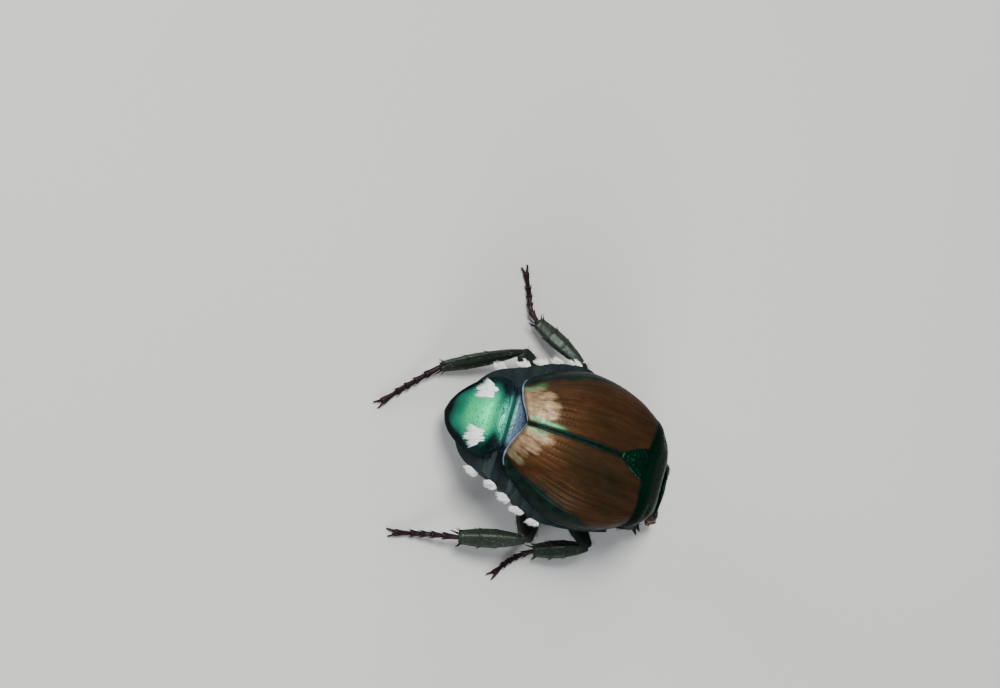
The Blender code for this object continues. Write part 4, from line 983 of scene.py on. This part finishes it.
def make_antenna(side, word):
    """The feeler: a stem, small middle joints and a club of three leaves that lie together."""
    piece = Piece(f"antenna_joints_{word}")
    mirror = np.array([side, 1, 1])
    root, bend, club, tip = (p * mirror for p in (FEELER_ROOT, FEELER_BEND, CLUB_ROOT, CLUB_TIP))
    t = np.linspace(-0.35, 1, 20)
    piece.tube(between(root, bend, t), 0.07 + 0.06 * np.sin(0.3 + 2.4 * np.clip(t, 0, 1)) ** 2, sides=18)
    for k in range(5):
        piece.ball(bend + (club - bend) * (k + 0.4) / 5, (0.095, 0.08, 0.085), rows=14, cols=20)
    ahead = unit(tip - club)
    up = np.array([0, -0.4, 1.0])
    across = unit(np.cross(ahead, up))
    for k in (-1, 0, 1):
        u = np.linspace(-0.06, 1, 26)
        path = between(club, tip, u) + across * (k * (0.05 + 0.1 * u))[:, None]
        body = np.sin(np.pi * np.clip(0.14 + 0.8 * u, 0.02, 0.98)) ** 0.6
        piece.tube(path, 0.075 * body, (0.27 - 0.02 * abs(k)) * body, sides=24, up=up, shade=0.25)
    n = 60
    aims = unit(rng.normal(0, 1, (n, 3)) + np.array([side * 0.6, -0.4, 0]))
    piece.hairs(between(root, bend, rng.uniform(0.2, 1, n)), aims, 0.15, 0.006, slot=1)
    m = 90
    u, turn = rng.uniform(0.1, 0.95, m), rng.uniform(0, TURN, m)
    ring = across * np.cos(turn)[:, None] * 0.2 + np.cross(across, ahead) * np.sin(turn)[:, None] * 0.24
    piece.hairs(between(club, tip, u) + ring * 0.9, ring * 2 + ahead * 0.5, 0.07, 0.004, slot=1)
    piece.make([feeler_skin, dark_hair], [f"antenna_{word}"])


def make_palp(side, word):
    piece = Piece(f"palp_joints_{word}")
    spots = [PALP_ROOT * [side, 1, 1] + np.array([side * x, y, z]) for x, y, z in PALP_PATH]
    for (a, b), fat in zip(zip(spots, spots[1:]), (0.12, 0.11, 0.11, 0.13)):
        t = np.linspace(0, 1, 12)
        piece.tube(between(a, b, t), fat * (0.6 + 0.5 * np.sin(0.4 + 2.5 * t)), sides=16)
    piece.make([feeler_skin], [f"palp_{word}"])


# The legs

def leg_path(points, count):
    """A smooth path through points, in even steps."""
    points = np.asarray(points, float)
    chord = np.concatenate([[0], np.cumsum(np.linalg.norm(np.diff(points, axis=0), axis=1))])
    t = np.linspace(0, chord[-1], count)
    return np.stack([curve(np.stack([chord, points[:, k]], -1), t) for k in range(3)], -1)


FEMUR_PROFILE = (
    (-0.04, 0.3), (0.06, 0.55), (0.14, 0.82), (0.35, 1.0), (0.6, 0.95), (0.82, 0.74), (0.96, 0.56),
    (1.0, 0.4),
)
TIBIA_PROFILE = (
    (0, 0.38), (0.06, 0.52), (0.18, 0.72), (0.42, 0.95), (0.62, 1.0), (0.86, 0.84), (0.96, 0.72), (1.0, 0.55),
)
# Place along the shin, side and height of each spine, then the front shin's teeth and the spurs at the ankle
SHIN_SPINES = (
    (0.4, 1, 0.3), (0.43, 1, -0.4), (0.4, -1, 0.2), (0.66, 1, 0.45), (0.68, 1, -0.3), (0.64, -1, 0.3),
    (0.7, -1, -0.2), (0.95, 1, 0.6), (0.97, 1, 0.1), (0.96, 1, -0.5), (0.95, -1, 0.5), (0.97, -1, 0.0),
)
FRONT_TEETH, SPURS = ((0.68, 0.25), (0.97, 0.5)), ((1, 0.5), (-1, 0.42))
FOOT_ENDS, FOOT_STEPS = (0.0, 0.26, 0.43, 0.58, 0.73, 1.0), 200
FOOT_JOINT = ((0, 0.45), (0.1, 0.62), (0.6, 0.8), (0.92, 1.05), (1.0, 0.8))
CLAW_JOINT = ((0, 0.4), (0.1, 0.55), (0.5, 0.72), (0.9, 1.0), (1.0, 0.75))


def make_coxa(name, leg):
    piece = Piece(f"coxa_joint_{name}")
    radii = np.array(COXA_RADII[name.split("_")[0]])
    piece.ball(leg["coxa"], radii * 0.99, rows=36, cols=56, glow=0.2)
    n = 70
    aims = unit(rng.normal(0, 1, (n, 3)) * [1, 1, 0.6] + [0, 0, -0.7])
    piece.hairs(leg["coxa"] + aims * radii * 0.9, aims + [0, 0.6, 0], 0.28, 0.007, slot=1)
    piece.make([leg_skin, leg_hair], [f"coxa_{name}"])


def make_femur(name, leg):
    pair, size = name.split("_")[0], leg["size"]
    hip, knee = np.array(leg["hip"]), np.array(leg["knee"])
    t = np.linspace(-0.04, 1.0, 60)
    half = FEMUR_HALF_WIDTH[pair] * size * curve(FEMUR_PROFILE, t) * 0.97
    turn = np.linspace(0, TURN, 40, endpoint=False)
    form = 1 + 0.05 * np.cos(2 * turn) - 0.03 * hill(np.abs(turn - np.pi), 1.0, 0.12)
    piece = Piece(f"femur_thigh_{name}")
    # glow: a painted highlight on the middle of the thigh
    glow = 0.4 * hill(t, 0.4, 0.3)
    piece.tube(between(hip, knee, t), half, half * FEMUR_FLATNESS, sides=40, form=form, glow=glow)
    t = np.linspace(0, 1, 16)[:, None]
    joint = hip + (np.array(leg["coxa"]) - hip) * 0.42 * (1 - t) + (knee - hip) * 0.1 * t
    piece.tube(joint, size * (0.17 + 0.05 * np.sin(np.linspace(0.2, 2.9, 16))), sides=24)
    ahead = unit(knee - hip)
    side = unit(np.cross(ahead, [0, 0, 1]))
    n = 90
    s, turn_sign = rng.uniform(0.12, 0.95, n), np.sign(rng.uniform(-1, 1, n))
    width = FEMUR_HALF_WIDTH[pair] * size * curve(FEMUR_PROFILE, s)
    roots = between(hip, knee, s) + side * (turn_sign * width * 0.9)[:, None]
    aims = side * turn_sign[:, None] * 0.6 + ahead * 0.7 + rng.normal(0, 0.15, (n, 3))
    piece.hairs(roots, aims, 0.26, 0.008, slot=1)
    piece.make([leg_skin, leg_hair], [f"femur_{name}"])


def make_tibia(name, leg):
    """The shin with its ribs, its outer spines and teeth, and the spurs at its end."""
    pair, size = name.split("_")[0], leg["size"]
    knee, ankle = np.array(leg["knee"]), np.array(leg["ankle"])
    t = np.linspace(0.0, 1.0, 80)
    ahead = unit(ankle - knee)
    up = np.array(Matrix.Rotation(math.radians(leg["roll"]), 3, Vector(ahead)) @ Vector((0, 0, 1)))
    side = unit(np.cross(ahead, up))
    lift = np.cross(side, ahead)
    outward = side if np.dot(side, [knee[0], 0, 0]) > 0 else -side
    width = TIBIA_HALF_WIDTH[pair] * size
    ridges = 0.022 * (hill(t, 0.42, 0.015) + hill(t, 0.68, 0.015)) + 0.03 * hill(t, 0.96, 0.015)
    form = 1 + 0.055 * np.cos(5 * np.linspace(0, TURN, 40, endpoint=False))
    piece = Piece(f"tibia_shin_{name}")
    half = width * curve(TIBIA_PROFILE, t) * 0.95 + ridges
    piece.tube(between(knee, ankle, t), half, half * TIBIA_FLATNESS, sides=40, up=up, form=form, glow=0.3)
    # Root, aim, length and radius of each tooth, spine and spur
    spikes = [
        (between(knee, ankle, s) + outward * width * 0.55, outward + ahead * lean, 0.5, 0.13)
        for s, lean in FRONT_TEETH if pair == "front"
    ]
    for s, sign, high in SHIN_SPINES:
        thick = width * curve(TIBIA_PROFILE, s)
        root = between(knee, ankle, s) + outward * sign * thick * 0.75 + lift * high * thick * 0.5
        aim = outward * sign * 0.85 + ahead + lift * high * 0.8
        spikes.append((root, aim, 0.24 if s < 0.9 else 0.3, 0.03))
    for sign, long in SPURS:
        root = ankle - ahead * 0.06 - outward * 0.14 + lift * sign * 0.08
        spikes.append((root, ahead - outward * 0.35 + lift * sign * 0.25, long, 0.04))
    piece.hairs(*(np.array(column) for column in zip(*spikes)), sides=6, rings=6, slot=1)
    n = 130
    s, angle = rng.uniform(0.1, 0.98, n), rng.uniform(0, TURN, n)
    ring = side * np.cos(angle)[:, None] + lift * np.sin(angle)[:, None] * TIBIA_FLATNESS
    roots = between(knee, ankle, s) + ring * (width * curve(TIBIA_PROFILE, s) * 0.9)[:, None]
    piece.hairs(roots, ring * 0.6 + ahead, 0.17, 0.006, slot=2)
    piece.make([leg_skin, spine_skin, leg_hair], [f"tibia_{name}"])


def make_tarsus(name, leg):
    """Five slim joints, each with its ring of bristles, and two curved claws of unequal size."""
    size = leg["size"]
    points = [np.array(leg["ankle"]), *(np.array(p) for p in leg["foot"])]
    thin = 0.155 * size
    points = [p - np.array([0, 0, (0.22 - thin * 0.95) * step(0.75, 0.22, p[2])]) for p in points]
    points[0] = points[0] - unit(points[1] - points[0]) * 0.04
    path = leg_path(points, FOOT_STEPS)
    piece = Piece(f"tarsus_joints_{name}")
    for first, last in zip(FOOT_ENDS, FOOT_ENDS[1:]):
        profile, n = (CLAW_JOINT, 5) if last == 1.0 else (FOOT_JOINT, 9)
        run = path[int(first * (FOOT_STEPS - 1)) : int(last * (FOOT_STEPS - 1)) + 1]
        piece.tube(run, thin * curve(profile, np.linspace(0, 1, len(run))), sides=18, glow=0.2)
        ahead = unit(run[-1] - run[-3])
        side = unit(np.cross(ahead, [0, 0, 1]))
        ring = circle(side, np.cross(side, ahead), np.linspace(0, TURN, n, endpoint=False) + 0.3)
        root = run[-max(2, len(run) // 12)] + ring * thin * 0.8
        piece.hairs(root, ahead + ring * 0.55, rng.uniform(0.11, 0.19, n), 0.011, sides=4, slot=1)
    ahead = unit(path[-1] - path[-8])
    side = unit(np.cross(ahead, [0, 0, 1]))
    for sign, long in ((1, 0.36), (-1, 0.3)):
        s = np.linspace(0, 1, 24)[:, None]
        claw = path[-1] - ahead * 0.05 + side * sign * 0.045 + ahead * long * np.sin(s * 1.7)
        claw = claw + side * sign * 0.1 * np.sin(s * 2.3) - np.array([0, 0, 1.0]) * (thin * 0.55) * s**2
        claw[:, 2] = np.maximum(claw[:, 2], 0.02)
        piece.tube(claw, 0.055 * (1 - 0.85 * s[:, 0] ** 1.5), sides=10)
        if sign > 0:
            fork = claw[12:18] + side * np.linspace(0, 0.06, 6)[:, None]
            piece.tube(fork, np.linspace(0.03, 0.008, 6), sides=8)
    piece.make([foot_skin, spine_skin], [f"tarsus_{name}"])


def belly_seat(y, turn, sunk):
    """Points on the underside and flanks, and the directions out of it."""
    width, belly = curve(FLANK_HALF_WIDTH, y), curve(BELLY_HEIGHT, y)
    margin = curve(MARGIN_HEIGHT, y) - MARGIN_DROP
    x = (width - sunk) * bent(np.sin(turn), BELLY_POWER)
    z = margin - (margin - belly - sunk) * bent(np.cos(turn), BELLY_POWER)
    out = unit(np.stack([x / width**2, 0 * x, (z - margin) / (margin - belly) ** 2], -1))
    return np.stack([x, y, z], -1), out


def make_belly_hair():
    """Sparse grey hair on the underside and flanks of the thorax, and a row on each body ring."""
    piece = Piece("belly_hair_grey")
    y, turn = rng.uniform(-2.3, 0.0, BELLY_HAIRS), rng.uniform(-1.35, 1.35, BELLY_HAIRS)
    p, out = belly_seat(y, turn, SKIN_SINK)
    aims = out * 0.55 + [0, 0.8, -0.1] + rng.normal(0, 0.15, p.shape)
    piece.hairs(p - out * 0.02, aims, 0.3, 0.008, uv=coat_uv(turn, y))
    for edge in HAIR_ROWS:
        turn = np.linspace(-1.3, 1.3, RING_HAIRS) + rng.normal(0, 0.01, RING_HAIRS)
        y = np.full(RING_HAIRS, edge)
        p, out = belly_seat(y, turn, 2 * SKIN_SINK)
        back, belly = abdomen_heights(y)
        p[:, 1] += rear_lean_share(y) * curve(REAR_LEAN, (back - p[:, 2]) / (back - belly))
        piece.hairs(p - out * 0.03, out * 0.4 + [0, 0.9, 0], 0.24, 0.008, uv=coat_uv(turn, y))
    piece.make([grey_hair], baked=True)


# The camera, the lights and the floor

# The camera fitted to the photograph: its place in millimetres and its directions, in the beetle's frame
CAMERA_PLACE = np.array([-22.9137, 52.0291, 94.502])
CAMERA_RIGHT, CAMERA_DOWN = (0.26556, -0.82168, 0.5043), (-0.9329, -0.35099, -0.08061)
CAMERA_AHEAD = (0.24324, -0.44906, -0.85976)
SENSOR_WIDTH, LENS, NEAR, FAR = 36.0, 95.04, 0.005, 20.0
# Name, direction, distance and size in metres, power and colour
LIGHTS = (
    ("key", (0.24, 0.36, 0.9), 0.22, (0.1, 0.07), 0.66, (1.0, 0.98, 0.95)),
    ("side", (-0.9, -0.1, 0.5), 0.25, (0.12, 0.12), 0.34, (0.93, 0.97, 1.0)),
    ("rear", (0.2, 0.95, 0.25), 0.25, (0.14, 0.08), 0.26, (1, 1, 1)),
    ("far_side", (0.85, 0.1, 0.35), 0.25, (0.12, 0.1), 0.13, (1, 1, 1)),
)
LIGHT_TARGET = (0, 0, 0.0035)


def make_stage():
    mesh = bpy.data.meshes.new("floor")
    bm = bmesh.new()
    bmesh.ops.create_grid(bm, x_segments=2, y_segments=2, size=1.5)
    bm.to_mesh(mesh)
    bm.free()
    floor = bpy.data.objects.new("floor", mesh)
    bpy.context.scene.collection.objects.link(floor)
    n = Nodes("floor_pale")
    colour = n.mottle(n.noise(0.02, 2.0), (0.56, 0.56, 0.55), (0.6, 0.6, 0.59), 0.3, 0.7)
    mesh.materials.append(n.finish(colour, Roughness=0.85))


def make_light(name, direction, distance, size, power, colour):
    data = bpy.data.lights.new(name, "AREA")
    data.shape = "RECTANGLE"
    data.size, data.size_y = size
    data.energy, data.color = power, colour
    lamp = bpy.data.objects.new(name, data)
    direction = Vector(direction).normalized()
    lamp.location = Vector(LIGHT_TARGET) + direction * distance
    lamp.rotation_euler = direction.to_track_quat("Z", "Y").to_euler()
    bpy.context.scene.collection.objects.link(lamp)


def make_camera():
    data = bpy.data.cameras.new("camera")
    data.sensor_width, data.lens, data.clip_start, data.clip_end = SENSOR_WIDTH, LENS, NEAR, FAR
    camera = bpy.data.objects.new("camera", data)
    turn = Matrix([(r, -d, -a) for r, d, a in zip(CAMERA_RIGHT, CAMERA_DOWN, CAMERA_AHEAD)])
    turn = turn.to_quaternion().to_matrix().to_4x4()
    camera.matrix_world = Matrix.Translation(Vector((CAMERA_PLACE - CENTRE) * MM)) @ turn
    bpy.context.scene.collection.objects.link(camera)
    bpy.context.scene.camera = camera


def make_world():
    world = bpy.data.worlds.new("studio")
    bpy.context.scene.world = world
    world.use_nodes = True
    shade = world.node_tree.nodes["Background"]
    shade.inputs["Color"].default_value = (0.62, 0.66, 0.72, 1)
    shade.inputs["Strength"].default_value = 0.3


# The order of these calls sets the order of the random draws.
for side, word in SIDES:
    for make_part in (make_elytron, make_eye, make_antenna, make_palp):
        make_part(side, word)
for make_part in (
    make_pronotum, make_scutellum, make_abdomen, make_thorax, make_prosternum, make_propygidium,
    make_pygidium, make_head, make_side_tufts, make_pygidium_tufts, make_belly_hair,
):
    make_part()
for name, leg in LEGS.items():
    for make_part in (make_coxa, make_femur, make_tibia, make_tarsus):
        make_part(name, leg)
make_stage()
make_world()
for light in LIGHTS:
    make_light(*light)
make_camera()
